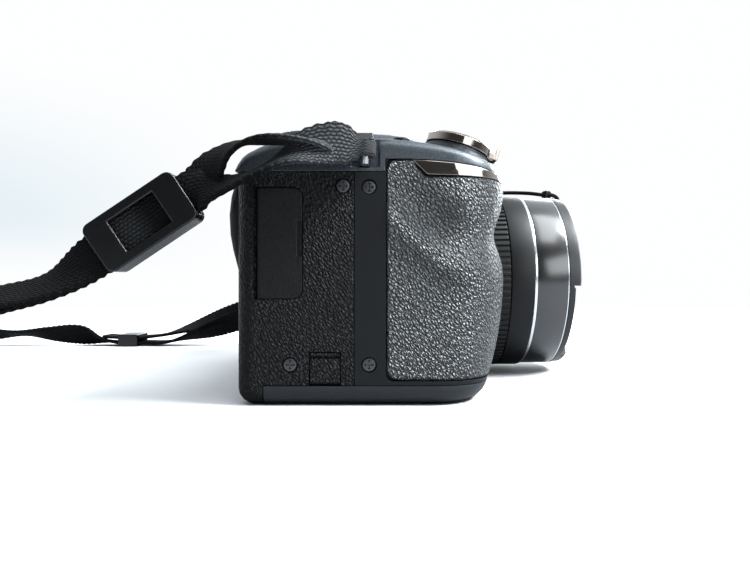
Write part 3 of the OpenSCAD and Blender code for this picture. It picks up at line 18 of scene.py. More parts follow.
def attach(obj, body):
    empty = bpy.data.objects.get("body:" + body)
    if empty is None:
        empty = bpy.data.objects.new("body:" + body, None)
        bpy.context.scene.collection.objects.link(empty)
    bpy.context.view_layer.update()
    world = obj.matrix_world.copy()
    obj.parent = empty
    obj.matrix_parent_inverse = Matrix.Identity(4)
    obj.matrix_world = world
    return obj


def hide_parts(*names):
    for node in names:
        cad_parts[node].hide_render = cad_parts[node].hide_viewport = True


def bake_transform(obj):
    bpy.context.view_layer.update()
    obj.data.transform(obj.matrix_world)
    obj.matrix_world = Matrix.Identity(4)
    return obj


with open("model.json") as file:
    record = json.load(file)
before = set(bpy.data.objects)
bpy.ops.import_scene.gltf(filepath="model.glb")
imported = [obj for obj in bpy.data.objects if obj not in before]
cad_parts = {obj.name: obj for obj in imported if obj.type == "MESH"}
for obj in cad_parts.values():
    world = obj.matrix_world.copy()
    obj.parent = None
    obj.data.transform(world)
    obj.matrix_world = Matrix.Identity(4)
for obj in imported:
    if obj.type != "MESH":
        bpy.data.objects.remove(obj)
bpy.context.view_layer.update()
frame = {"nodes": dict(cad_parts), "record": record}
nodes = frame["nodes"]
record = frame["record"]
body_of = {n: b for b, members in record["behaviour"]["bodies"].items() for n in members}
MM = 0.001
print("solids:", len(nodes), "bodies:", len(set(body_of.values())))

# %% [markdown]
# ## The view
# The photograph was taken from close by with a wide phone lens, level with the middle of the grip. A wide
# angle from near makes the lens barrel, which is further away, look small, so the camera must stand as near
# as the phone did: a longer lens from further away would never give the same outline.

# %% Camera at the photograph's place
def placed(name, data):
    """A new object in the scene."""
    obj = bpy.data.objects.new(name, data)
    bpy.context.scene.collection.objects.link(obj)
    return obj


PHOTO_WIDE, FOCUS_PX, SENSOR = 750, 565.0, 36.0
NEAR_FACE, REACH, EYE_HIGH = -66.0, 140.5, 31.2
EYE = Vector((NEAR_FACE - REACH, 0.0, EYE_HIGH)) * MM

lens = bpy.data.cameras.new("photo_view")
lens.sensor_width = SENSOR
lens.lens = SENSOR * FOCUS_PX / PHOTO_WIDE
lens.clip_start = 0.01
view = placed("photo_view", lens)
view.location = EYE
view.rotation_euler = (math.radians(90), 0, math.radians(-90))
bpy.context.scene.camera = view
print("view from", [round(x, 4) for x in EYE], "focal length", round(lens.lens, 2), "mm")

# %% [markdown]
# ## Finishes as sums
# A finish is a small network of nodes. Written node by node it is long and hard to read, so one class wraps a
# socket and lets ordinary sums add the Math nodes. A second class holds a network, of a material, of the world
# or of a shape, and makes any node. A third is a network that ends in a material. What varies in a material
# feeds only colour, roughness, metal, coat or bump, because those can be baked to pictures in an export.

# %% Networks of nodes, and sockets that can be added
class Value:
    """A socket of a node network that takes part in sums."""

    def __init__(self, net, socket):
        self.net, self.socket = net, socket

    def __add__(self, other):
        return self.net.calc("ADD", self, other)

    def __sub__(self, other):
        return self.net.calc("SUBTRACT", self, other)

    def __rsub__(self, other):
        return self.net.calc("SUBTRACT", other, self)

    def __mul__(self, other):
        return self.net.calc("MULTIPLY", self, other)

    def __pow__(self, other):
        return self.net.calc("POWER", self, other)

    __radd__, __rmul__ = __add__, __mul__


class Net:
    """A node network of a material, of the world or of a shape."""

    def __init__(self, tree):
        self.tree = tree
        tree.nodes.clear()

    def feed(self, socket, value):
        if isinstance(value, Value):
            self.tree.links.new(value.socket, socket)
        else:
            socket.default_value = value

    def node(self, kind, settings=None, inputs=None, out=0):
        made = self.tree.nodes.new(kind)
        for key, value in (settings or {}).items():
            setattr(made, key, value)
        for key, value in (inputs or {}).items():
            self.feed(made.inputs[key], value)
        return Value(self, made.outputs[out])

    def end(self, kind, value):
        """An output node; its socket is given back, so that it can be fed again."""
        socket = self.tree.nodes.new(kind).inputs[0]
        self.feed(socket, value)
        return socket

    def calc(self, operation, *values):
        return self.node("ShaderNodeMath", {"operation": operation}, dict(enumerate(values)))

    def split(self, vector):
        """The parts of a vector along x, y and z."""
        first = self.node("ShaderNodeSeparateXYZ", {}, {0: vector})
        return [Value(self, socket) for socket in first.socket.node.outputs]

    def soft_step(self, value, low, high, first=0.0, last=1.0):
        return self.node("ShaderNodeMapRange", {"interpolation_type": "SMOOTHSTEP"},
                         {"Value": value, "From Min": low, "From Max": high, "To Min": first, "To Max": last})

    def blend(self, share, a, b):
        return self.node("ShaderNodeMix", {"data_type": "RGBA"}, {0: share, 6: a, 7: b}, 2)


class Paint(Net):
    """One material under construction, with a principled shader at its end."""

    def __init__(self, name, **fixed):
        self.material = bpy.data.materials.new(name)
        self.material.use_nodes = True
        super().__init__(self.material.node_tree)
        self.shader = self.tree.nodes.new("ShaderNodeBsdfPrincipled")
        self.last = self.end("ShaderNodeOutputMaterial", Value(self, self.shader.outputs[0]))
        self.known = {}
        self.surface(**fixed)

    def surface(self, **sockets):
        for key, value in sockets.items():
            self.feed(self.shader.inputs[key.replace("_", " ")], value)
        return self

    def place(self, kind="Object"):
        if kind not in self.known:
            self.known[kind] = self.node("ShaderNodeTexCoord", out=kind)
        return self.known[kind]

    def noise(self, size, detail=2.0, at=None):
        return self.node("ShaderNodeTexNoise", {}, {"Vector": at or self.place(), "Scale": 1 / size,
                                                    "Detail": detail}, "Fac")

    def cells(self, size, at=None, feature="DISTANCE_TO_EDGE"):
        return self.node("ShaderNodeTexVoronoi", {"feature": feature},
                         {"Vector": at or self.place(), "Scale": 1 / size}, "Distance")

    def warped(self, size, amount):
        """Object coordinates pushed about by soft noise, so that cells lose their straight walls."""
        push = self.node("ShaderNodeTexNoise", {}, {"Vector": self.place(), "Scale": 1 / size}, "Color")
        push = self.node("ShaderNodeVectorMath", {"operation": "MULTIPLY_ADD"},
                         {0: push, 1: (amount,) * 3, 2: (-amount / 2,) * 3})
        return self.node("ShaderNodeVectorMath", {"operation": "ADD"}, {0: self.place(), 1: push})

    def relief(self, height, depth, edge=0.0):
        """Bump of a real depth in metres; edge rounds the sharp corners of the piece in the shading."""
        inputs = {"Height": height, "Distance": depth, "Strength": 1.0}
        if edge:
            inputs["Normal"] = self.node("ShaderNodeBevel", {"samples": 6}, {"Radius": edge})
        return self.surface(Normal=self.node("ShaderNodeBump", {}, inputs))


def grey(level, blue=0.0):
    """A near-neutral colour, a touch bluer if asked."""
    return (level * (1 - blue), level, level * (1 + blue), 1)


def shade(colour, share):
    """The same colour, darker or paler."""
    return tuple(c * share for c in colour[:3]) + (1,)


print("finish helpers ready")

# %% [markdown]
# ## Plain moulded plastic
# Most small pieces are moulded plastic. Even plain plastic isn't one flat colour: a fine spark-eroded grain
# scatters its shine, and handling leaves soft patches where it is a little glossier. One function makes this
# finish, with the colour, the shine and the size of the grain as its inputs.

# %% Moulded plastics
HANDLED = 14 * MM


def moulded(name, colour, rough, grain=0.22, depth=0.012, patch=0.08, edge=0.12, specular=0.35):
    paint = Paint(name, Specular_IOR_Level=specular)
    fine = paint.noise(grain * MM, 3)
    wide = paint.noise(HANDLED, 3)
    paint.surface(Base_Color=paint.blend(fine, shade(colour, 0.8), colour),
                  Roughness=rough - patch / 2 + patch * wide + 0.06 * fine)
    paint.relief(fine, depth * MM, edge * MM)
    return paint


satin_black = moulded("satin_black_plastic", grey(0.011, 0.08), 0.42, 0.16, 0.008, specular=0.2)
control_black = moulded("control_black_plastic", grey(0.012), 0.38, 0.14, 0.006)
base_plastic = moulded("base_blue_black_plastic", grey(0.024, 0.16), 0.38, 0.2, 0.01)
cap_plastic = moulded("cap_satin_plastic", grey(0.032, 0.06), 0.34, 0.18, 0.01)
lens_plastic = moulded("lens_matt_plastic", grey(0.007, 0.08), 0.4, 0.12, 0.006, specular=0.24)
slider_plastic = moulded("slider_plastic", grey(0.005), 0.2, 0.3, 0.003, edge=0.5, specular=0.5)
inner_plastic = moulded("inner_plastic", grey(0.05), 0.55)
soft_rubber = moulded("soft_rubber", grey(0.014), 0.68, 0.35, 0.03, specular=0.25)
record_red = moulded("record_red_plastic", (0.36, 0.012, 0.015, 1), 0.3, 0.2, 0.004)
print("plain plastics made, the last one", record_red.material.name)

# %% [markdown]
# ## Leather-look mouldings
# The rear cover, the flap over the terminals and the rubber grip skin all imitate leather. Real grain is a net
# of soft valleys round pebbles of uneven size. Voronoi cells give that net, noise bends their straight walls,
# and the pattern leans, as leather does where it was stretched. The relief, in a light that rakes across it,
# draws the pebbles, and the creases between them are painted darker than the pebble tops: painted shade.

# %% Three leather finishes
def leather(name, shaded_crease, top, cell, depth, rough, specular, lean=-36):
    paint = Paint(name, Specular_IOR_Level=specular)
    at = paint.node("ShaderNodeMapping", {"vector_type": "TEXTURE"},
                    {"Vector": paint.warped(cell * 1.6 * MM, cell * 0.7 * MM),
                     "Rotation": (math.radians(lean), 0, 0), "Scale": (1, 0.75, 1.3)})
    pebble = 1 - paint.soft_step(paint.cells(cell * MM, at, "F1"), 0.05, 0.8)
    crease = paint.soft_step(paint.cells(cell * MM, at), 0.0, 0.14)
    small = paint.noise(cell * 0.35 * MM, 2)
    swell = paint.noise(cell * 4 * MM, 2)
    height = 0.75 * pebble + 0.3 * crease + 0.16 * small + 0.4 * swell
    worn = paint.noise(22 * MM, 3)
    # The creases take the darker colour: painted shade on a leather of one colour. A soft noise varies the tone in
    # patches.
    paint.surface(Base_Color=paint.blend(crease * (0.5 + 0.6 * worn), shaded_crease, top),
                  Roughness=rough + 0.1 - 0.14 * pebble + 0.05 * worn)
    paint.relief(height, depth * MM, 0.25 * MM)
    return paint


rear_leather = leather("rear_leather_plastic", grey(0.003, 0.06), grey(0.006, 0.08), 0.9, 0.3, 0.34, 0.17)
grip_leather = leather("grip_leather_rubber", grey(0.014, 0.06), grey(0.05, 0.07), 0.9, 0.72, 0.32, 0.75)
flap_leather = leather("flap_leather_plastic", grey(0.005, 0.08), grey(0.009, 0.08), 0.8, 0.07, 0.4, 0.2)
print("leather finishes:", [p.material.name for p in (rear_leather, grip_leather, flap_leather)])

# %% [markdown]
# ## Paint, metal, glass
# The top cover has a dark blue-grey paint with tiny metal flecks. The trim over the grip and the zoom ring
# carry a dark bronze chrome. Bright metals get fine turning lines in their roughness, and the glass pieces a
# faint smear, because perfectly clean surfaces look like computer pictures.

# %% Paint with flecks
top_paint = Paint("top_fleck_paint", Specular_IOR_Level=0.5, Coat_Roughness=0.3)
pit = top_paint.soft_step(top_paint.cells(0.34 * MM, feature="F1"), 0.12, 0.3)
cloud = top_paint.noise(0.5 * MM, 3)
top_paint.surface(Base_Color=top_paint.blend(pit * cloud, (0.016, 0.019, 0.023, 1), (0.13, 0.146, 0.164, 1)),
                  Metallic=0.45 + 0.4 * pit, Roughness=0.52 - 0.1 * pit + 0.06 * top_paint.noise(16 * MM, 2),
                  Coat_Weight=0.1 + 0.1 * cloud)
top_paint.relief(cloud, 0.02 * MM, 0.35 * MM)


def metal(name, colour, rough, line=0.2, spread=0.12, edge=0.1):
    paint = Paint(name, Metallic=1.0)
    drawn = paint.noise(line * MM, 4)
    smear = paint.noise(9 * MM, 3)
    paint.surface(Base_Color=paint.blend(smear, shade(colour, 0.82), colour),
                  Roughness=rough + spread * (smear * drawn))
    paint.relief(drawn, 0.003 * MM, edge * MM)
    return paint


bronze_chrome = metal("bronze_chrome", (0.36, 0.31, 0.275, 1), 0.06, edge=0.3)
bright_chrome = metal("bright_chrome", (0.82, 0.83, 0.84, 1), 0.07)
plated_steel = metal("plated_steel", (0.62, 0.63, 0.64, 1), 0.2)
silver_edge = metal("silver_edge", (0.86, 0.87, 0.88, 1), 0.18)
screw_metal = metal("blackened_screw", (0.1, 0.1, 0.105, 1), 0.3, spread=0.2)
cell_sleeve = metal("cell_sleeve", (0.42, 0.3, 0.1, 1), 0.3)
print("paint and metals made")

# %% Gloss, glass and circuit board
gloss_black = Paint("gloss_black", Specular_IOR_Level=0.8, Coat_Roughness=0.2)
smudge = gloss_black.noise(7 * MM, 4)
gloss_black.surface(Base_Color=gloss_black.blend(smudge, grey(0.006), grey(0.01)),
                    Roughness=0.2 + 0.1 * smudge ** 2, Coat_Weight=0.5 + 0.2 * smudge)
gloss_black.relief(smudge, 0.002 * MM, 0.15 * MM)


def glass(name, dark, light, rough, alpha, coat=0.5):
    paint = Paint(name, Specular_IOR_Level=0.7, Alpha=alpha, Coat_Roughness=0.02)
    smear = paint.noise(11 * MM, 4)
    paint.surface(Base_Color=paint.blend(smear, dark, light), Roughness=rough + 0.05 * smear,
                  Coat_Weight=coat + 0.2 * smear)
    return paint


screen_glass = glass("screen_glass", (0.004, 0.0045, 0.006, 1), (0.008, 0.009, 0.012, 1), 0.05, 1.0)
coated_glass = glass("coated_glass", (0.03, 0.05, 0.09, 1), (0.05, 0.04, 0.11, 1), 0.03, 0.55)
flash_glass = Paint("flash_lens", Specular_IOR_Level=0.6)
ridge = flash_glass.node("ShaderNodeTexWave", {"bands_direction": "X"},
                         {"Vector": flash_glass.place(), "Scale": 1 / (6.3 * MM)}, "Fac")
flash_glass.surface(Base_Color=flash_glass.blend(ridge, (0.5, 0.52, 0.54, 1), (0.82, 0.84, 0.86, 1)),
                    Roughness=0.12 + 0.1 * ridge).relief(ridge, 0.15 * MM)
board = Paint("green_board", Specular_IOR_Level=0.5)
track = board.soft_step(board.cells(3.2 * MM, feature="F1"), 0.28, 0.3)
board.surface(Base_Color=board.blend(track, (0.02, 0.11, 0.05, 1), (0.012, 0.07, 0.035, 1)),
              Roughness=0.35 + 0.15 * track).relief(track, 0.04 * MM)
print("gloss, glass and board made")

# %% [markdown]
# ## Woven finishes
# The strap is a flat nylon webbing: cords run along it, and the weft crosses them in a plain weave. The
# pattern has to follow the strap round every bend, so it reads the strap's own map, in which one direction
# counts millimetres across and the other millimetres along. Near the lug and by the slider's bar the webbing
# is painted paler, a painted light where the lamp falls on it.

# %% Webbing and cord
LUG_LIGHT_FADE, BAR_FROM, BAR_TO = (16.0, 30.0), (57.0, 63.0), (66.0, 71.0)


def woven(name, across, along, dark, light, depth, rub=1.0):
    """Plain weave on a map in millimetres; the last argument is how much paler it is painted near the lug and at the
    slider's bar, a painted light.
    """
    paint = Paint(name, Specular_IOR_Level=0.12)
    u, v, _ = paint.split(paint.place("UV"))
    column = u * (1 / across)
    shift = paint.calc("MODULO", paint.calc("FLOOR", column), 2.0)
    yarn = paint.calc("PINGPONG", column, 0.5) * 2
    floated = paint.calc("PINGPONG", v * (1 / along) + 0.5 * shift, 0.5) * 2
    fuzz = paint.noise(0.15 * MM, 3)
    height = (yarn ** 0.6) * (0.35 + 0.65 * floated ** 0.7) + 0.12 * fuzz
    # Near the lug, over the first 16 to 30 millimetres, and again at the slider's bar, the webbing is painted paler:
    # painted light where the lamp falls on it.
    at_bar = paint.soft_step(v, *BAR_FROM) * (1 - paint.soft_step(v, *BAR_TO))
    painted_light = 1 - paint.soft_step(v, *LUG_LIGHT_FADE) + 0.35 * at_bar
    # Where the weave is low, between the yarns and where they dive under, it takes the darker colour: painted shade.
    paint.surface(Base_Color=paint.blend(height, dark, paint.blend(painted_light, light, shade(light, rub))),
                  Roughness=0.8 - 0.3 * height * painted_light)
    paint.relief(height, depth * MM)
    return paint


webbing_weave = woven("black_webbing", 0.9, 1.2, grey(0.001), grey(0.006, 0.05), 0.45, 20.0)
cord_braid = woven("black_cord", 0.5, 0.9, grey(0.004), grey(0.016), 0.15)
print("woven finishes:", webbing_weave.material.name, cord_braid.material.name)

# %% [markdown]
# ## The strap
# The strap is one long webbing. Each end passes through a slider, round the steel bar of a lug, and back
# through the slider, where it ends. It is made as three runs that meet at the two bars: the main run from lug
# to lug, which is rolled up where the photograph doesn't reach, and the two loose tails. A run follows points
# that also say how the webbing is twisted and how much of its width is gathered there.
# The weft turns back at the edges, so they are scalloped.

# %% Points of the strap, in millimetres: x, y, z, twist, share of the width
NEAR = [
    (-77, 112, 24.1, 55, 1), (-76, 100, 25.6, 58, 1), (-74.8, 88, 27.4, 58, 1), (-73.8, 76.5, 30.4, 48, 1),
    (-73.4, 64.9, 38, 0, 1), (-73.4, 54.6, 44.9, 0, 1), (-73.4, 44.3, 51.8, 0, 1), (-74, 39, 53, 35, 1),
    (-74.6, 33.4, 54.2, 62, 1), (-74.8, 27.1, 56.8, 72, 1), (-74.4, 21, 60.2, 62, 1), (-73.4, 15, 63, 22, 1),
    (-72.4, 9.8, 63.9, 0, 1), (-71.6, 6.4, 63.5, 0, 0.9), (-71, 4, 63.3, 0, 0.5),
    (-70.9, 2.2, 63.3, 0, 0.4), (-70.2, 0.9, 63.3, 0, 0.4), (-69, 0.4, 63.3, 0, 0.4),
    (-67.8, 0.9, 63.3, 0, 0.4), (-67.1, 2.2, 63.3, 0, 0.4), (-67.2, 4.6, 63.3, 0, 0.5),
    (-68.4, 7, 64.7, 0, 0.85), (-70.2, 10.4, 65.7, 30, 1), (-71.6, 17, 64.8, 78, 1),
    (-72.4, 26.7, 64.7, 84, 1), (-72.4, 33.8, 62.9, 62, 1), (-71.8, 39, 58.6, 26, 1), (-71.4, 44.3, 51.8, 0, 1),
    (-71.4, 54.6, 44.9, 0, 1), (-71.4, 64.9, 38, 0, 1), (-71.8, 77, 29.8, 50, 1), (-72.8, 90, 25.4, 60, 1),
    (-74.6, 103, 20, 58, 1), (-76.6, 116, 13.4, 44, 1), (-78, 128, 7.8, 20, 1), (-78.1, 136, 5.5, 0, 1),
    (-78, 141.4, 5.3, 0, 1)]
FAR = [
    (68, 130, 4.6, 90, 1), (68, 122, 4.1, 90, 1), (68, 112, 4.1, 90, 1), (68, 102, 5.2, 90, 1),
    (68, 92, 8, 75, 1), (68, 80, 11.6, 45, 1), (67.8, 66, 16, 10, 1), (66.8, 53, 20.5, 0, 1),
    (66.2, 43.4, 26.4, 0, 1), (66.2, 35.3, 35.8, 0, 1), (66.2, 25.6, 47.2, 0, 1), (64.4, 19, 54, 0, 1),
    (61, 11.5, 60.6, 0, 1), (58.2, 7, 63, 0, 0.7), (57.2, 4, 63.3, 0, 0.42), (56.9, 2.2, 63.3, 0, 0.4),
    (56.2, 0.9, 63.3, 0, 0.4), (55, 0.4, 63.3, 0, 0.4), (53.8, 0.9, 63.3, 0, 0.4),
    (53.1, 2.2, 63.3, 0, 0.4), (53.3, 4.6, 63.2, 0, 0.42), (54.6, 9, 62.6, 0, 0.7), (58.8, 16, 57, 0, 1),
    (62.8, 21, 51.8, 0, 1), (64.2, 25.6, 47.2, 0, 1), (64.2, 35.3, 35.8, 0, 1), (64.2, 43.4, 26.4, 0, 1),
    (64.6, 53, 17.6, 0, 1), (65.8, 66, 12.4, 10, 1), (67, 80, 7.4, 45, 1), (67.8, 92, 3.6, 80, 1),
    (68, 102, 1.5, 90, 1), (68, 112, 1.5, 90, 1), (68, 122, 1.5, 90, 1), (67.8, 132, 2.8, 70, 1),
    (67.2, 143, 5.3, 20, 1), (66.6, 156, 5.6, 45, 1), (66, 170, 6, 75, 1), (64, 183, 5.8, 55, 1),
    (59, 193, 5.3, 20, 1), (50, 200, 5.3, 0, 1), (37, 203, 5.3, 0, 1), (22, 203, 5.3, 0, 1),
    (6, 199, 5.3, 0, 1), (-8, 190, 5.3, 0, 1), (-17, 178, 5.3, 0, 1), (-21, 165, 5.3, 0, 1),
    (-22, 152, 5.3, 0, 1), (-22, 142.6, 5.3, 0, 1)]
NEAR_BAR, FAR_BAR = 17, 17
ROLL_CENTRE, ROLL_CORE, ROLL_OUTER, ROLL_PITCH = (-50, 142, 5.3), 9.0, 28.0, 3.8
roll_turn = (ROLL_OUTER - ROLL_CORE) / (2 * ROLL_PITCH) * 360
roll_count = math.ceil(roll_turn * 24 / 360)


def roll_arm(angle, side):
    """A point on one arm of the double spiral."""
    r, a = ROLL_CORE + 2 * ROLL_PITCH * angle / 360, math.radians(angle - roll_turn)
    return (ROLL_CENTRE[0] + side * r * math.cos(a), ROLL_CENTRE[1] + side * r * math.sin(a), ROLL_CENTRE[2], 0, 1)


def roll_bend(angle, side):
    """A point on the fold at the middle of the roll."""
    t, a = math.radians(roll_turn), math.radians(angle)
    x, y = ROLL_CORE / 2 * (1 + math.cos(a)), -ROLL_CORE / 2 * math.sin(a)
    return (ROLL_CENTRE[0] + side * (x * math.cos(t) + y * math.sin(t)),
            ROLL_CENTRE[1] + side * (y * math.cos(t) - x * math.sin(t)), ROLL_CENTRE[2], 0, 1)


roll = ([roll_arm(roll_turn * i / roll_count, -1) for i in range(roll_count, -1, -1)]
        + [roll_bend(a, -1) for a in range(30, 181, 30)] + [roll_bend(a, 1) for a in range(150, 29, -30)]
        + [roll_arm(roll_turn * i / roll_count, 1) for i in range(roll_count + 1)])
main_run = NEAR[NEAR_BAR:-1] + roll + FAR[:FAR_BAR - 1:-1][1:]
print("points:", len(main_run), "on the main run,", len(roll), "of them in the roll")

# %% [markdown]
# A smooth run needs more points than these. A Catmull-Rom curve passes through each of them and bends evenly
# between. The flat section is then carried along it, standing as upright as the run allows and turned by the
# twist. The map counts millimetres, for the weave.

# %% Smooth runs of flat webbing
def smooth_run(points, spacing):
    """Points of a Catmull-Rom curve through the given ones, about this far apart."""
    p = np.array(points, float)
    p = np.vstack([2 * p[0] - p[1], p, 2 * p[-1] - p[-2]])
    out = []
    for i in range(1, len(p) - 2):
        a, b, c, d = p[i - 1:i + 3]
        n = max(1, int(round(np.linalg.norm(c[:3] - b[:3]) / spacing)))
        for t in np.arange(n) / n:
            out.append(0.5 * (2 * b + (c - a) * t + (2 * a - 5 * b + 4 * c - d) * t * t
                              + (3 * b - a - 3 * c + d) * t ** 3))
    return np.array(out + [p[-2]])


def summed(points):
    """Distance along a line of points, from its start to each of them."""
    return np.concatenate([[0], np.cumsum(np.linalg.norm(np.diff(points, axis=0), axis=1))])


@contextmanager
def shaping(mesh, outwards=False):
    """A mesh opened for changes, which are written back at the end; its faces can be turned outwards."""
    bm = bmesh.new()
    bm.from_mesh(mesh)
    yield bm
    if outwards:
        bmesh.ops.recalc_face_normals(bm, faces=bm.faces)
    bm.to_mesh(mesh)
    bm.free()


def quads(bm, rings, closed=False):
    """Faces between neighbouring rings of points, each with the numbers of its ring and its side."""
    made = []
    for i in range(len(rings) if closed else len(rings) - 1):
        a, b = rings[i], rings[(i + 1) % len(rings)]
        for k in range(len(a)):
            q = (k + 1) % len(a)
            made.append((bm.faces.new((a[k], a[q], b[q], b[k])), i, k))
    return made


STEEP = 0.3


def swept(name, run, section, paint):
    """A closed tube: section(share, along) gives its outline in millimetres as (across, through) points."""
    tangent = np.gradient(run[:, :3], axis=0)
    tangent /= np.linalg.norm(tangent, axis=1)[:, None]
    up = np.array([0, 0, 1.0]) - tangent[:, 2:3] * tangent
    for i in range(1, len(up)):
        if np.linalg.norm(up[i]) < STEEP:
            up[i] = up[i - 1] - tangent[i] * np.dot(up[i - 1], tangent[i])
    up /= np.linalg.norm(up, axis=1)[:, None]
    twist = np.radians(run[:, 3])[:, None]
    wide = up * np.cos(twist) + np.cross(tangent, up) * np.sin(twist)
    thick = np.cross(wide, tangent)
    plain = section(1.0, 0)
    along, girth = summed(run[:, :3]), summed(plain + plain[:1])
    mesh = bpy.data.meshes.new(name)
    with shaping(mesh, outwards=True) as bm:
        uv_layer = bm.loops.layers.uv.new("map")
        rings = [[bm.verts.new((p[:3] + wide[i] * a + thick[i] * b) * MM) for a, b in section(p[4], along[i])]
                 for i, p in enumerate(run)]
        for face, i, k in quads(bm, rings):
            face.smooth = True
            for loop, (across, down) in zip(face.loops, ((k, i), (k + 1, i), (k + 1, i + 1), (k, i + 1))):
                loop[uv_layer].uv = girth[across], along[down]
        bm.faces.new(rings[0][::-1])
        bm.faces.new(rings[-1])
    mesh.materials.append(paint.material)
    return placed(name, mesh), along[-1] * MM


WEB_WIDE, WEB_THICK, WEB_ROUND, WEB_STEP, PATH_EVERY = 10.0, 1.4, 0.45, 0.55, 4
PICK, SCALLOP = 2.2, 0.22


def web_section(share, along):
    """Flat webbing with rounded, scalloped edges; a gathered stretch keeps its thickness."""
    a, b, c = WEB_WIDE * share / 2 + SCALLOP * math.sin(2 * math.pi * along / PICK), WEB_THICK / 2, WEB_ROUND
    half = [(a - c, b), (a - c * 0.3, b * 0.75), (a, 0), (a - c * 0.3, -b * 0.75), (a - c, -b)]
    flat = [((a - c) * k, -b) for k in (0.6, 0.2, -0.2, -0.6)]
    return half + flat + [(-x, y) for x, y in half[::-1]] + [(-x, -y) for x, y in flat]


straps = {}
for name, points in (("strap_main", main_run), ("strap_tail_near", NEAR[NEAR_BAR::-1]),
                     ("strap_tail_far", FAR[FAR_BAR::-1])):
    run = smooth_run(points, WEB_STEP)
    piece, length = swept(name, run, web_section, webbing_weave)
    kept = np.linspace(0, len(run) - 1, len(run) // PATH_EVERY).astype(int)
    straps[name] = (piece, run[kept, :3] * MM, length)
    print(name, "length", round(length, 3), "m,", len(run), "sections")

# %% [markdown]
# ## The cord of the lens cap
# A thin braided cord ties the cap to the far lug. On the camera its end goes with the lens when it runs out
# and with the cap when it comes off. Here it is made in two lengths, one between the body and the front barrel,
# the other between the barrel and the cap; neither is attached to a moving part. A small knot sits behind the cap.

# %% Cap cord
TETHER = [(55.4, 0.3, 60.2), (56, -3, 60.2), (55.2, -8, 60.2), (52, -14, 60), (46, -19, 60.6), (37, -24, 62),
          (27, -30, 63.4), (18, -38, 64.6), (11, -48, 65), (6, -57, 64.2), (3.4, -62, 63.2),
          (2.5, -65.6, 62.9), (2.5, -67.4, 61.7), (2.5, -67.4, 60.2)]
TETHER_MEETS = 7
CORD_R, CORD_STEP = 0.7, 0.8


def cord_section(share, along):
    return [(CORD_R * math.cos(a), CORD_R * math.sin(a)) for a in np.linspace(0, 2 * math.pi, 13)[:-1]]


cord_run = smooth_run([p + (0, 1) for p in TETHER], CORD_STEP)
meet = int(np.argmin(np.linalg.norm(cord_run[:, :3] - np.array(TETHER[TETHER_MEETS]), axis=1)))
tether_back, back_length = swept("tether_back", cord_run[:meet + 1], cord_section, cord_braid)
tether_front, front_length = swept("tether_front", cord_run[meet:], cord_section, cord_braid)
print("cap cord", round(back_length, 4), "+", round(front_length, 4), "m")

# %% Let the strap ride, and let the strap and the cord replace their solids
for piece, _, _ in straps.values():
    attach(piece, "body")
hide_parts("strap_roll", "strap_near", "strap_far")
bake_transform(tether_back)
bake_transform(tether_front)
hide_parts("cap_tether")

# %% [markdown]
# ## Floor and light
# The photograph is bright and shadowless but for a soft pool under the camera: a white table by a window. A
# white floor meets a white world with no visible edge, and a pale blue haze lies at the left. Only the view
# sees them so bright: for other rays the floor is a dim grey, and the world is bright on the far side alone.
# Soft lamps stand above, in front and beyond, where the top cover shows its brightest reflections. A fourth, a
# card at the right, lights no surface and is only mirrored in the trim and the rings.

# %% Floor
FLOOR_HALF, FADE, PAPER = 3.0, (0.16, 0.6), (0.99, 0.995, 1.0, 1)
floor_mesh = bpy.data.meshes.new("floor")
floor_mesh.from_pydata([(x * FLOOR_HALF, y * FLOOR_HALF, 0) for x, y in ((-1, -1), (1, -1), (1, 1), (-1, 1))],
                       [], [(0, 1, 2, 3)])
floor = placed("floor", floor_mesh)
table = Paint("pale_floor", Specular_IOR_Level=0.1, Roughness=0.8)
table.surface(Base_Color=table.blend(table.noise(0.5, 2), (0.86, 0.87, 0.885, 1), (0.89, 0.895, 0.905, 1)))
away = table.node("ShaderNodeVectorMath", {"operation": "LENGTH"}, {0: table.place()}, "Value")
direct = table.node("ShaderNodeLightPath", out="Is Camera Ray")
glow = table.node("ShaderNodeEmission", {}, {"Color": PAPER, "Strength": 1.0})
dim = table.node("ShaderNodeBsdfDiffuse", {}, {"Color": (0.4, 0.41, 0.43, 1)})
lit = table.node("ShaderNodeMixShader", {}, {0: direct, 1: dim, 2: Value(table, table.shader.outputs[0])})
fade = table.soft_step(away, *FADE) * direct
table.feed(table.last, table.node("ShaderNodeMixShader", {}, {0: fade, 1: lit, 2: glow}))
floor_mesh.materials.append(table.material)
print("floor of", 2 * FLOOR_HALF, "m, white from", FADE[1], "m")

# %% World
LEAN, SKY, HAZE = 0.9, (0.88, 0.95, 1, 1), (0.79, 0.88, 0.92, 1)
world = bpy.data.worlds.new("white_room")
bpy.context.scene.world = world
world.use_nodes = True
room = Net(world.node_tree)
look_x, look_y, look_z = room.split(room.node("ShaderNodeTexCoord", out="Generated"))
open_side = room.soft_step(room.calc("MULTIPLY_ADD", look_z, LEAN, look_x), -0.4, 0.9, 0.1, 1.15)
at_left = room.soft_step(look_y, 0.2, 0.6)
haze = at_left * room.soft_step(look_z, 0.1, 0.33, 1.0, 0.0) * room.soft_step(look_z, 0.0, 0.1)
given_light = room.node("ShaderNodeBackground", {}, {"Color": SKY, "Strength": open_side})
seen = room.node("ShaderNodeBackground", {}, {"Color": room.blend(haze, PAPER, HAZE), "Strength": 1.0})
room.end("ShaderNodeOutputWorld", room.node("ShaderNodeMixShader", {}, {
    0: room.node("ShaderNodeLightPath", out="Is Camera Ray"), 1: given_light, 2: seen}))
print("world nodes:", len(room.tree.nodes))

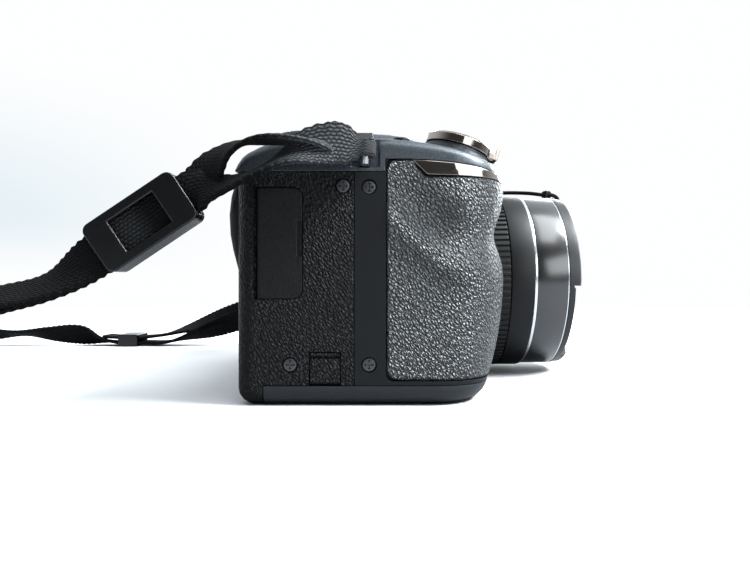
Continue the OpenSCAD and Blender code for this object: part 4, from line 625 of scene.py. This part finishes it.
# %% Lamps: place, what they face, size in metres, watts
DAYLIGHT = (0.92, 0.97, 1)
LAMPS = {
    "window_front": ((-0.12, -0.75, 0.8), (-0.03, -0.02, 0.05), (0.45, 0.45), 30.0),
    "soft_top": ((-0.3, -0.3, 0.85), (-0.3, -0.3, 0), (0.75, 0.35), 4.8),
    "window_far": ((0.95, -0.45, 0.32), (0, 0, 0.05), (1.0, 0.6), 20.0),
    "card_right": ((-0.62, -0.5, 0.28), (-0.066, -0.025, 0.058), (0.8, 0.3), 3.4)}
for name, (place, target, (wide, tall), power) in LAMPS.items():
    data = bpy.data.lights.new(name, "AREA")
    data.shape, data.size, data.size_y = "RECTANGLE", wide, tall
    data.energy, data.color = power, DAYLIGHT
    lamp = placed(name, data)
    lamp.location = place
    lamp.rotation_euler = (Vector(target) - Vector(place)).to_track_quat("-Z", "Y").to_euler()
    lamp.visible_diffuse = name != "card_right"
bpy.context.scene.view_settings.view_transform = "Standard"
print("lamps:", len(LAMPS))

# %% [markdown]
# ## Moulded pieces from the solids
# Many pieces already have the right shape as solids. What they lack is the small radius that every moulded or
# machined edge has: without it no edge catches the light. A copy of the solid is cleaned of its loose
# triangles, given a narrow bevel, and smoothed by angle. Large shells get their edge rounding in the shading,
# because their thin slices leave no room for a bevel.

# %% Copies with soft edges
MERGE, FLAT, BEVEL_FROM = 0.004 * MM, math.radians(1), math.radians(38)


def tidy_copy(node, name=None):
    mesh = nodes[node].data.copy()
    mesh.materials.clear()
    with shaping(mesh) as bm:
        bmesh.ops.remove_doubles(bm, verts=bm.verts, dist=MERGE)
        bmesh.ops.dissolve_degenerate(bm, edges=bm.edges, dist=MERGE)
        bmesh.ops.dissolve_limit(bm, angle_limit=FLAT, verts=bm.verts, edges=bm.edges)
    return placed(name or node + "_piece", mesh)


def dress(obj, node, paint, bevel=0.0, smooth=32, flatten=False):
    """Finish a piece that stands for a solid, and let it ride where the solid does."""
    obj.data.materials.clear()
    obj.data.materials.append(paint.material)
    obj.data.shade_smooth()
    obj.data.set_sharp_from_angle(angle=math.radians(smooth))
    if flatten:
        obj.modifiers.new("even", "WEIGHTED_NORMAL").keep_sharp = True
    if bevel:
        soft = obj.modifiers.new("edge", "BEVEL")
        soft.width, soft.segments, soft.limit_method = bevel * MM, 3, "ANGLE"
        soft.angle_limit, soft.harden_normals = BEVEL_FROM, True
    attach(obj, body_of[node])
    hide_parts(node)
    return obj


shells = {"rear_cover": rear_leather, "front_cover": satin_black, "top_cover": top_paint,
          "bottom_cover": base_plastic, "battery_door": base_plastic, "flash_head": top_paint,
          "grip_trim": bronze_chrome}
for node, paint in shells.items():
    dress(tidy_copy(node), node, paint, smooth=26, flatten=True)
print("large shells:", len(shells))

# %% Small pieces with bevelled edges: the width of each bevel, by finish
small = {
    soft_rubber: {"thumb_rest": 0.3, "eyecup": 0.6}, flap_leather: {"terminal_cover": 0.3},
    rear_leather: {"dc_flap": 0.2}, screen_glass: {"lcd_window": 0.3}, coated_glass: {"eyepiece_glass": 0.2},
    flash_glass: {"flash_window": 0.2}, plated_steel: {"strap_lugs": 0.35, "tripod_socket": 0.2},
    bronze_chrome: {"zoom_lever": 0.3}, bright_chrome: {"shutter_button": 0.3}, record_red: {"movie_button": 0.35},
    control_black: {"burst_button": 0.2, "flash_button": 0.3, "power_switch": 0.15, "playback_button": 0.35,
                    "selector_pad": 0.4, "ok_button": 0.4, "battery_latch": 0.1},
    cap_plastic: {"lens_cap": 0.25, "cap_tab_near": 0.2, "cap_tab_far": 0.2}}
for paint, widths in small.items():
    for node, width in widths.items():
        dress(tidy_copy(node), node, paint, width)
print("small pieces:", sum(map(len, small.values())))

# %% Strap sliders, one piece for each side
def sliders_on(side, name, width):
    """The strap sliders on one side of the camera, with their own edge radius."""
    piece = tidy_copy("strap_sliders", name)
    with shaping(piece.data) as bm:
        bmesh.ops.delete(bm, geom=[v for v in bm.verts if v.co.x * side < 0], context="VERTS")
    return dress(piece, "strap_sliders", slider_plastic, width)


near_slider = sliders_on(-1, "strap_slider_near", 1.1)
far_sliders = sliders_on(1, "strap_sliders_far", 0.5)
print("sliders:", len(near_slider.data.polygons), "and", len(far_sliders.data.polygons), "faces")

# %% Pieces inside, which keep their solids
inside = {
    plated_steel: ("chassis", "zoom_motor", "terminal_sockets", "battery_hinge_pin", "flash_pin"),
    inner_plastic: ("battery_box", "flash_capacitor", "lens_base", "evf_module", "lcd_module"),
    board: ("main_board", "image_sensor"), cell_sleeve: ("battery_cells",), coated_glass: ("zoom_glass",)}
for paint, members in inside.items():
    for node in members:
        nodes[node].data.materials.clear()
        nodes[node].data.materials.append(paint.material)
print("inside pieces:", sum(map(len, inside.values())))

# %% [markdown]
# ## Turned lens parts
# The lens is a stack of turned rings. Spinning a profile gives them clean roundness, and softening each
# corner of the profile gives the bright line that a real ring shows along its edges. A profile is a list of
# radius and distance in front of the body's origin, in millimetres. The front edge of the barrel has a narrow
# silver ring of its own.

# %% Turning on the lens axis
LENS_Z = 31.5
SAME_PLACE = 1e-7


def softened(profile, cut):
    """The same closed profile with each corner rounded."""
    out = []
    for i, p in enumerate(profile):
        p = np.array(p, float)
        a, b = np.array(profile[i - 1], float) - p, np.array(profile[(i + 1) % len(profile)], float) - p
        la, lb = np.linalg.norm(a), np.linalg.norm(b)
        start, end = p + a / la * min(cut, 0.45 * la), p + b / lb * min(cut, 0.45 * lb)
        out += [start, 0.25 * start + 0.5 * p + 0.25 * end, end]
    return out


def turned(name, profile, cut, steps=144):
    """A mesh turned round the lens axis, with its corners rounded by cut."""
    rim = softened(profile, cut) if cut else profile
    mesh = bpy.data.meshes.new(name)
    with shaping(mesh, outwards=True) as bm:
        rings = []
        for i in range(steps):
            a = 2 * math.pi * i / steps
            rings.append([bm.verts.new(Vector((r * math.cos(a), -f, LENS_Z + r * math.sin(a))) * MM) for r, f in rim])
        quads(bm, rings, closed=True)
        bmesh.ops.remove_doubles(bm, verts=bm.verts, dist=SAME_PLACE)
    return mesh


print("lens axis at", LENS_Z, "mm")

# %% Lens parts: finish, corner, profile
GLASS_EDGE, GLASS_SEAT, GLASS_CURVE, GLASS_STEPS = 18.4, 57.7, 110.0, 8


def dome_height(r):
    return math.sqrt(GLASS_CURVE ** 2 - r ** 2)


dome = [(0.0, 53.1), (22.4, 53.1), (22.4, GLASS_SEAT)]
for k in range(GLASS_STEPS, -1, -1):
    r = GLASS_EDGE * k / GLASS_STEPS
    dome.append((r, GLASS_SEAT + dome_height(r) - dome_height(GLASS_EDGE)))
LENS_PARTS = {
    "lens_housing": (lens_plastic, 0.3, [(22.5, -8), (24, -8), (24, 17), (29.5, 17), (29.5, 42.8), (30.3, 42.8),
                                         (30.3, 50.1), (27.6, 50.1), (27.6, 19), (22.5, 19)]),
    "lens_trim_ring": (silver_edge, 0.2, [(27.6, 50.1), (30.0, 50.1), (30.0, 51), (27.6, 51)]),
    "barrel_middle": (lens_plastic, 0.2, [(25.0, 19.3), (27.2, 19.3), (27.2, 49.7), (25.0, 49.7)]),
    "barrel_front": (gloss_black, 0.2, [(22.6, 19.3), (24.6, 19.3), (24.6, 51.1), (29.7, 51.1), (29.7, 61),
                                        (26.9, 61), (26.9, 57.7), (22.6, 57.7)]),
    "front_bezel": (lens_plastic, 0.15, [(18.7, 57.7), (26.8, 57.7), (26.8, 59.7), (21.7, 59.1), (18.7, 58.3)]),
    "front_glass": (coated_glass, 0, dome)}
for node, (paint, cut, profile) in LENS_PARTS.items():
    dress(placed(node + "_piece", turned(node + "_piece", profile, cut)), node, paint)
print("turned lens parts:", len(LENS_PARTS))

# %% Bright line on the front edge
EDGE_LINE = [(29.4, 60.6), (29.72, 60.6), (29.72, 60.95), (29.4, 60.95)]
bright_line = placed("front_edge_line", turned("front_edge_line", EDGE_LINE, 0.1))
bright_line.data.materials.append(silver_edge.material)
bright_line.data.shade_smooth()
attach(bright_line, "front_barrel")
print("bright line faces:", len(bright_line.data.polygons))

# %% [markdown]
# ## Ribs and knurls with Geometry Nodes
# The zoom grip, the mode dial and the dioptre wheel all carry one small rib repeated round a ring. A node
# tree does this once: a circle of points, the rib set on each of them and turned to face outwards, then made
# real and given its finish. The same tree serves all three, with other numbers.

# %% Trees that set one shape on many points
class Grower(Net):
    """A geometry tree with named inputs that sets one shape on points and gives it a finish."""

    def __init__(self, name, **kinds):
        super().__init__(bpy.data.node_groups.new(name, "GeometryNodeTree"))
        self.socket("Geometry", "INPUT", "Geometry")
        self.keys = {key: self.socket(key, "INPUT", kind) for key, kind in kinds.items()}
        self.socket("Geometry", "OUTPUT", "Geometry")
        self.source = self.tree.nodes.new("NodeGroupInput")

    def socket(self, key, side, kind):
        return self.tree.interface.new_socket(key, in_out=side, socket_type="NodeSocket" + kind).identifier

    def given(self, key):
        return Value(self, self.source.outputs[key])

    def set_on(self, points, facing):
        """The shape on each point, made real, because instances alone are lost in an export."""
        shape = self.node("GeometryNodeObjectInfo", {}, {"Object": self.given("Shape")}, "Geometry")
        copies = self.node("GeometryNodeInstanceOnPoints", {},
                           {"Points": points, "Instance": shape, "Rotation": facing})
        real = self.node("GeometryNodeRealizeInstances", {}, {0: copies})
        self.end("NodeGroupOutput", self.node("GeometryNodeSetMaterial", {},
                                              {"Geometry": real, "Material": self.given("Finish")}))

    def grown(self, name, host_mesh=None, **values):
        """Run the tree on a host, and return its result as a plain mesh."""
        host = placed(name + "_host", host_mesh or bpy.data.meshes.new(name + "_host"))
        modifier = host.modifiers.new("grow", "NODES")
        modifier.node_group = self.tree
        for key, value in values.items():
            modifier[self.keys[key]] = value
        bpy.context.view_layer.update()
        mesh = bpy.data.meshes.new_from_object(host.evaluated_get(bpy.context.evaluated_depsgraph_get()))
        bpy.data.objects.remove(host)
        return mesh


ring = Grower("ring_of_ribs", Count="Int", Radius="Float", Shape="Object", Finish="Material")
turn = ring.calc("DIVIDE", ring.node("GeometryNodeInputIndex"), ring.given("Count")) * (2 * math.pi)
outwards = ring.node("FunctionNodeEulerToRotation", {}, {0: ring.node("ShaderNodeCombineXYZ", {}, {"Z": turn})})
ring.set_on(ring.node("GeometryNodeMeshCircle", {}, {"Vertices": ring.given("Count"),
                                                     "Radius": ring.given("Radius")}), outwards)
print("ring tree inputs:", sorted(ring.keys))


# %% Ribs and rings of ribs
RIB_ROOT = 0.3


def rib_block(name, out, wide, tall, chamfer):
    """One rib: it stands out along x, is wide along y and tall along z, with a narrowed top."""
    o, w, t, c = out * MM, wide / 2 * MM, tall / 2 * MM, chamfer * MM
    levels = ((-o * RIB_ROOT, w, t), (o - c, w, t), (o, w - c, t - c))
    verts = [(x, s * y, u * z) for x, y, z in levels for s in (-1, 1) for u in (-1, 1)]
    faces = [(0, 1, 3, 2), (8, 10, 11, 9)]
    for lo in (0, 4):
        hi = lo + 4
        faces += [(lo, lo + 2, hi + 2, hi), (lo + 1, hi + 1, hi + 3, lo + 3), (lo, hi, hi + 1, lo + 1),
                  (lo + 2, lo + 3, hi + 3, hi + 2)]
    mesh = bpy.data.meshes.new(name)
    mesh.from_pydata(verts, [], faces)
    with shaping(mesh) as bm:
        bmesh.ops.recalc_face_normals(bm, faces=bm.faces)
    return placed(name, mesh)


def ribbed_ring(name, count, radius, rib, paint, at, turned_by=Matrix()):
    """Ribs (out, wide, tall, chamfer) round a ring, turned and moved to their place in millimetres."""
    block = rib_block(name + "_rib", *rib)
    mesh = ring.grown(name, Count=count, Radius=radius * MM, Shape=block, Finish=paint.material)
    bpy.data.objects.remove(block)
    mesh.transform(Matrix.Translation(Vector(at) * MM) @ turned_by)
    return mesh


def joined(name, *meshes):
    """One object from several meshes."""
    out = bpy.data.meshes.new(name)
    with shaping(out) as bm:
        for mesh in meshes:
            bm.from_mesh(mesh)
    return placed(name, out)


RIBS, RIB_REAR, RIB_FRONT, SLEEVE_IN, SLEEVE_OUT = 96, 30.0, 42.7, 29.55, 29.85
ribs = ribbed_ring("zoom_ribs", RIBS, 29.8, (0.6, 1.15, RIB_FRONT - RIB_REAR - 0.3, 0.2), lens_plastic,
                   (0, -(RIB_REAR + RIB_FRONT) / 2, LENS_Z), Matrix.Rotation(math.pi / 2, 4, "X"))
sleeve = turned("zoom_sleeve", [(SLEEVE_IN, RIB_REAR), (SLEEVE_OUT, RIB_REAR), (SLEEVE_OUT, RIB_FRONT),
                                (SLEEVE_IN, RIB_FRONT)], 0.1, RIBS * 2)
dress(joined("lens_grip_ring_piece", ribs, sleeve), "lens_grip_ring", lens_plastic)
print("zoom ribs:", RIBS, "faces", len(ribs.polygons))

# %% Mode dial and dioptre wheel
UPRIGHT = Matrix.Rotation(-math.pi / 2, 4, "X") @ Matrix.Translation(Vector((0, 0, -LENS_Z)) * MM)


def upright_disc(name, profile, at, cut, steps=96):
    """A turned piece that stands on the deck: radius and height above its foot."""
    mesh = turned(name, profile, cut, steps)
    mesh.transform(Matrix.Translation(Vector(at) * MM) @ UPRIGHT)
    return mesh


def above(at, rise):
    return (at[0], at[1], at[2] + rise)


DIAL = (-41.5, 19.5, 67.7)
dial_body = upright_disc("dial_body", [(0, -4), (3, -4), (3, 0), (10.4, 0), (10.4, 3.8), (10.0, 4.4), (9.4, 5.0),
                                       (7.2, 5.0), (7.0, 4.75), (0, 4.75)], DIAL, 0.15)
knurl = ribbed_ring("dial_knurl", 60, 10.35, (0.4, 0.62, 3.3, 0.12), control_black, above(DIAL, 2.0))
marks = ribbed_ring("dial_marks", 12, 8.3, (0.9, 0.5, 0.16, 0.04), silver_edge, above(DIAL, 5.02))
dress(joined("mode_dial_piece", dial_body, knurl), "mode_dial", control_black)
mark_piece = placed("mode_dial_marks", marks)
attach(mark_piece, "dial")
WHEEL = (18.5, 29.0, 68.5)
wheel_body = upright_disc("wheel_body", [(0.8, 0), (3.8, 0), (3.8, 3), (0.8, 3)], WHEEL, 0.2, 48)
wheel_ribs = ribbed_ring("wheel_knurl", 30, 3.75, (0.22, 0.4, 2.6, 0.08), control_black, above(WHEEL, 1.5))
dress(joined("diopter_dial_piece", wheel_body, wheel_ribs), "diopter_dial", control_black)
print("dial knurl faces", len(knurl.polygons), "wheel knurl faces", len(wheel_ribs.polygons))

# %% [markdown]
# ## Screws
# Small black cross-head screws hold the covers. They are all alike, so one screw is drawn and a second tree
# sets it on points that each carry the direction it faces.

# %% One screw, set on its places
SIDE_SCREWS = [(1.5, 54.6, -1), (1.5, 10.3, -1), (8, 54.9, -1), (21.2, 10.3, -1), (8, 54.9, 1), (21.2, 10.3, 1)]
BASE_SCREWS = [(-14, 22), (44, 20), (40, -9), (-14, 4)]
FAR_FACE = 52.0
places = [((NEAR_FACE if s < 0 else FAR_FACE, y, z), (s, 0, 0)) for y, z, s in SIDE_SCREWS]
places += [((x, y, 0), (0, 0, -1)) for x, y in BASE_SCREWS]
HEAD = [(0.0, -0.95), (0.3, -0.9), (0.34, -0.3), (1.25, -0.3), (1.6, -0.36), (1.75, -0.5), (1.75, -1.08),
        (0.8, -1.1), (0.8, -2.6), (0, -2.6)]
SIDES, CROSS_TOP, CROSS_FLOOR = 32, 3.4, 2.6
screw = placed("screw", bpy.data.meshes.new("screw"))
with shaping(screw.data, outwards=True) as bm:
    rounds = [[bm.verts.new(Vector((r * math.cos(a), r * math.sin(a), z)) * MM)
               for a in np.linspace(0, 2 * math.pi, SIDES + 1)[:-1]] for r, z in HEAD]
    quads(bm, rounds)
    for k in range(SIDES):
        if (k + 1) % (SIDES // 4) < 3:
            rounds[2][k].co.xy *= CROSS_TOP
            rounds[1][k].co.xy *= CROSS_FLOOR
    bmesh.ops.remove_doubles(bm, verts=bm.verts, dist=SAME_PLACE)
seat = Grower("screws_on_places", Shape="Object", Finish="Material")
way = seat.node("GeometryNodeInputNamedAttribute", {"data_type": "FLOAT_VECTOR"}, {"Name": "faces"}, "Attribute")
seat.set_on(seat.given("Geometry"), seat.node("FunctionNodeAlignRotationToVector", {"axis": "Z"}, {"Vector": way}))
seats = bpy.data.meshes.new("screw_seats")
seats.from_pydata([Vector(p) * MM for p, _ in places], [], [])
facing = seats.attributes.new("faces", "FLOAT_VECTOR", "POINT")
facing.data.foreach_set("vector", [c for _, d in places for c in d])
screw_mesh = seat.grown("screws", seats, Shape=screw, Finish=screw_metal.material)
bpy.data.objects.remove(screw)
dress(placed("case_screws_piece", screw_mesh), "case_screws", screw_metal)
print("screws:", len(places), "faces", len(screw_mesh.polygons))

# %% [markdown]
# ## The rubber grip skin
# The skin is what the hand and the eye meet first, so it is drawn again as one smooth sheet. Going round the
# grip it follows the flat outer side, the round nose and the short inner side. Going up, the nose leans back
# at the foot and has a hollow for the middle finger. Its edge rolls in, as a thick rubber edge does.

# %% Grip skin as a smooth sheet
GRIP_X, GRIP_R, NOSE, HEEL = -52.5, 13.5, 34.5, 6.0
SKIN_LOW, SKIN_TOP, SKIN_STEP, SKIN_EDGE, INNER_EDGE = 6.4, 61.6, 57.2, 2.9, 17.2
HEEL_HIGH, FINGER_DEEP, FINGER_Z, FINGER_WIDE, BROW_Z, BROW_EASE, FOOT_R = 32, 2.4, 43.5, 5.5, 54, 40, 4


def grip_front(z):
    """Distance of the nose at height z."""
    return (NOSE - HEEL * (max(0, HEEL_HIGH - z) / HEEL_HIGH) ** 2
            - FINGER_DEEP * math.exp(-((z - FINGER_Z) / FINGER_WIDE) ** 2) - max(0, z - BROW_Z) ** 2 / BROW_EASE)


def rounded(gap, radius):
    """How far an edge of this radius draws in, at this distance from it."""
    return 0.0 if gap >= radius else radius - math.sqrt(max(0.0, radius ** 2 - (radius - gap) ** 2))


HOLLOW = np.array([(7.0, 55.0), (14.0, 48.0), (21.0, 42.0), (31.0, 39.0)])
HOLLOW_DEEP, HOLLOW_WIDE = 1.25, 4.6
LIP_BELOW, LIP_ABOVE = (0.9, 7.5, 3.2), (0.2, 9.0, 3.5)
CORNER = 3.0


def scoop(f, z):
    """Depth of the finger hollow that runs down across the outer side to the nose, with a lip below it."""
    best = (1e9, 0.0, 0.0)
    for i, (a, b) in enumerate(zip(HOLLOW, HOLLOW[1:])):
        t = min(1.0, max(0.0, float(np.dot((f, z) - a, b - a) / np.dot(b - a, b - a))))
        gap = (f, z) - (a + t * (b - a))
        side = np.sign((b - a)[0] * gap[1] - (b - a)[1] * gap[0])
        best = min(best, (float(np.linalg.norm(gap)), float(side), (i + t) / (len(HOLLOW) - 1)))
    off, side, along = best
    strength = 0.3 + 0.7 * math.sin(math.pi * min(1.0, 0.15 + 0.75 * along))
    high, at, wide = LIP_BELOW if side < 0 else LIP_ABOVE
    lip = high * math.exp(-((off - at) / wide) ** 2)
    return strength * (HOLLOW_DEEP * math.exp(-(off / HOLLOW_WIDE) ** 2) - lip)


def skin_point(u, z, sink):
    """A point of the skin: u runs from the rear edge of the outer side to the rear edge of the inner side."""
    centre = grip_front(z) - GRIP_R
    r = GRIP_R - rounded(z, FOOT_R) - sink
    rear = SKIN_EDGE + rounded(min(SKIN_TOP - z, z - SKIN_LOW), CORNER)
    outer, arc = centre - rear, math.pi * GRIP_R
    inner = centre - INNER_EDGE
    s = u * (outer + arc + inner)
    if s < outer:
        return Vector((GRIP_X - r + scoop(rear + s, z), -(rear + s), z))
    if s < outer + arc:
        a = (s - outer) / GRIP_R
        r -= scoop(centre + GRIP_R * math.sin(a), z) * max(0.0, math.cos(a))
        return Vector((GRIP_X - r * math.cos(a), -(centre + r * math.sin(a)), z))
    return Vector((GRIP_X + r, -(centre - (s - outer - arc)), z))


STEP_FROM, STEP_LONG, OUTER_SHARE = 5.2, 5.2, 0.35


def skin_height(u):
    """Upper edge of the skin: it steps down under the bright trim."""
    f = -skin_point(u, 50, 0).y
    t = min(1, max(0, (f - SKIN_EDGE - STEP_FROM) / STEP_LONG)) if u < OUTER_SHARE else 1
    return SKIN_TOP + (SKIN_STEP - SKIN_TOP) * t * t * (3 - 2 * t)


ACROSS, UP, SKIN_ROUND, SKIN_THICK, SKIN_ROLL, ROLL_IN = 150, 90, 70, 1.4, 0.7, 0.6
skin_mesh = bpy.data.meshes.new("grip_skin_piece")
with shaping(skin_mesh) as bm:
    grid = []
    for i in range(ACROSS + 1):
        u = i / ACROSS
        top = skin_height(u)
        column = []
        for k in range(UP + 1):
            z = SKIN_LOW + (top - SKIN_LOW) * k / UP
            sink = rounded(min(z - SKIN_LOW, top - z, u * SKIN_ROUND, (1 - u) * SKIN_ROUND), SKIN_ROLL)
            column.append(bm.verts.new(skin_point(u, z, sink * ROLL_IN) * MM))
        grid.append(column)
    for i in range(ACROSS):
        for k in range(UP):
            bm.faces.new((grid[i][k], grid[i + 1][k], grid[i + 1][k + 1], grid[i][k + 1]))
    bm.normal_update()
skin = placed("grip_skin_piece", skin_mesh)
wall = skin.modifiers.new("thickness", "SOLIDIFY")
wall.thickness, wall.offset = SKIN_THICK * MM, -1.0
dress(skin, "grip_skin", grip_leather, smooth=60)
print("grip skin faces:", len(skin_mesh.polygons))

# %% [markdown]
# ## The knot
# The cap cord ends in a small knot behind the cap. It is a short thick tube that crosses itself, like an
# overhand knot pulled tight.

# %% Knot of the cap cord
KNOT_AT, KNOT_R, KNOT_LOOP = (3.0, -63.4, 63.2), 0.75, 0.8
turns = np.linspace(0, 2 * math.pi, 41)
knot_path = np.stack([KNOT_AT[0] + KNOT_R * (np.sin(turns) + KNOT_LOOP * np.sin(2 * turns)),
                      KNOT_AT[1] + KNOT_R * (np.cos(turns) - KNOT_LOOP * np.cos(2 * turns)),
                      KNOT_AT[2] - KNOT_R * np.sin(3 * turns), 0 * turns, 0 * turns + 1], axis=1)
knot, knot_length = swept("tether_knot", knot_path, cord_section, cord_braid)
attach(knot, "cap")
print("knot of", round(knot_length * 1000), "mm of cord")

# %% [markdown]
# ## Cords and what sits on them
# Each free cord is listed with its length, the point where it leaves the object, and the pieces that sit on it:
# the sliders on the strap, the knot on the cap cord. The loops below keep nothing of what they compute.

for name, at, end, lay, sits in (("strap_main", NEAR[NEAR_BAR], "object", "coiled", [near_slider, far_sliders]),
                                 ("strap_tail_near", NEAR[NEAR_BAR], "bare", "loose", []),
                                 ("strap_tail_far", FAR[FAR_BAR], "bare", "loose", [])):
    piece, path, length = straps[name]
    [c * MM for c in at[:3]]
for piece, run, length, sits in ((tether_back, cord_run[:meet + 1], back_length, []),
                                 (tether_front, cord_run[meet:], front_length, [knot])):
    run[:, :3] * MM
print("cords declared:", len(straps) + 2)
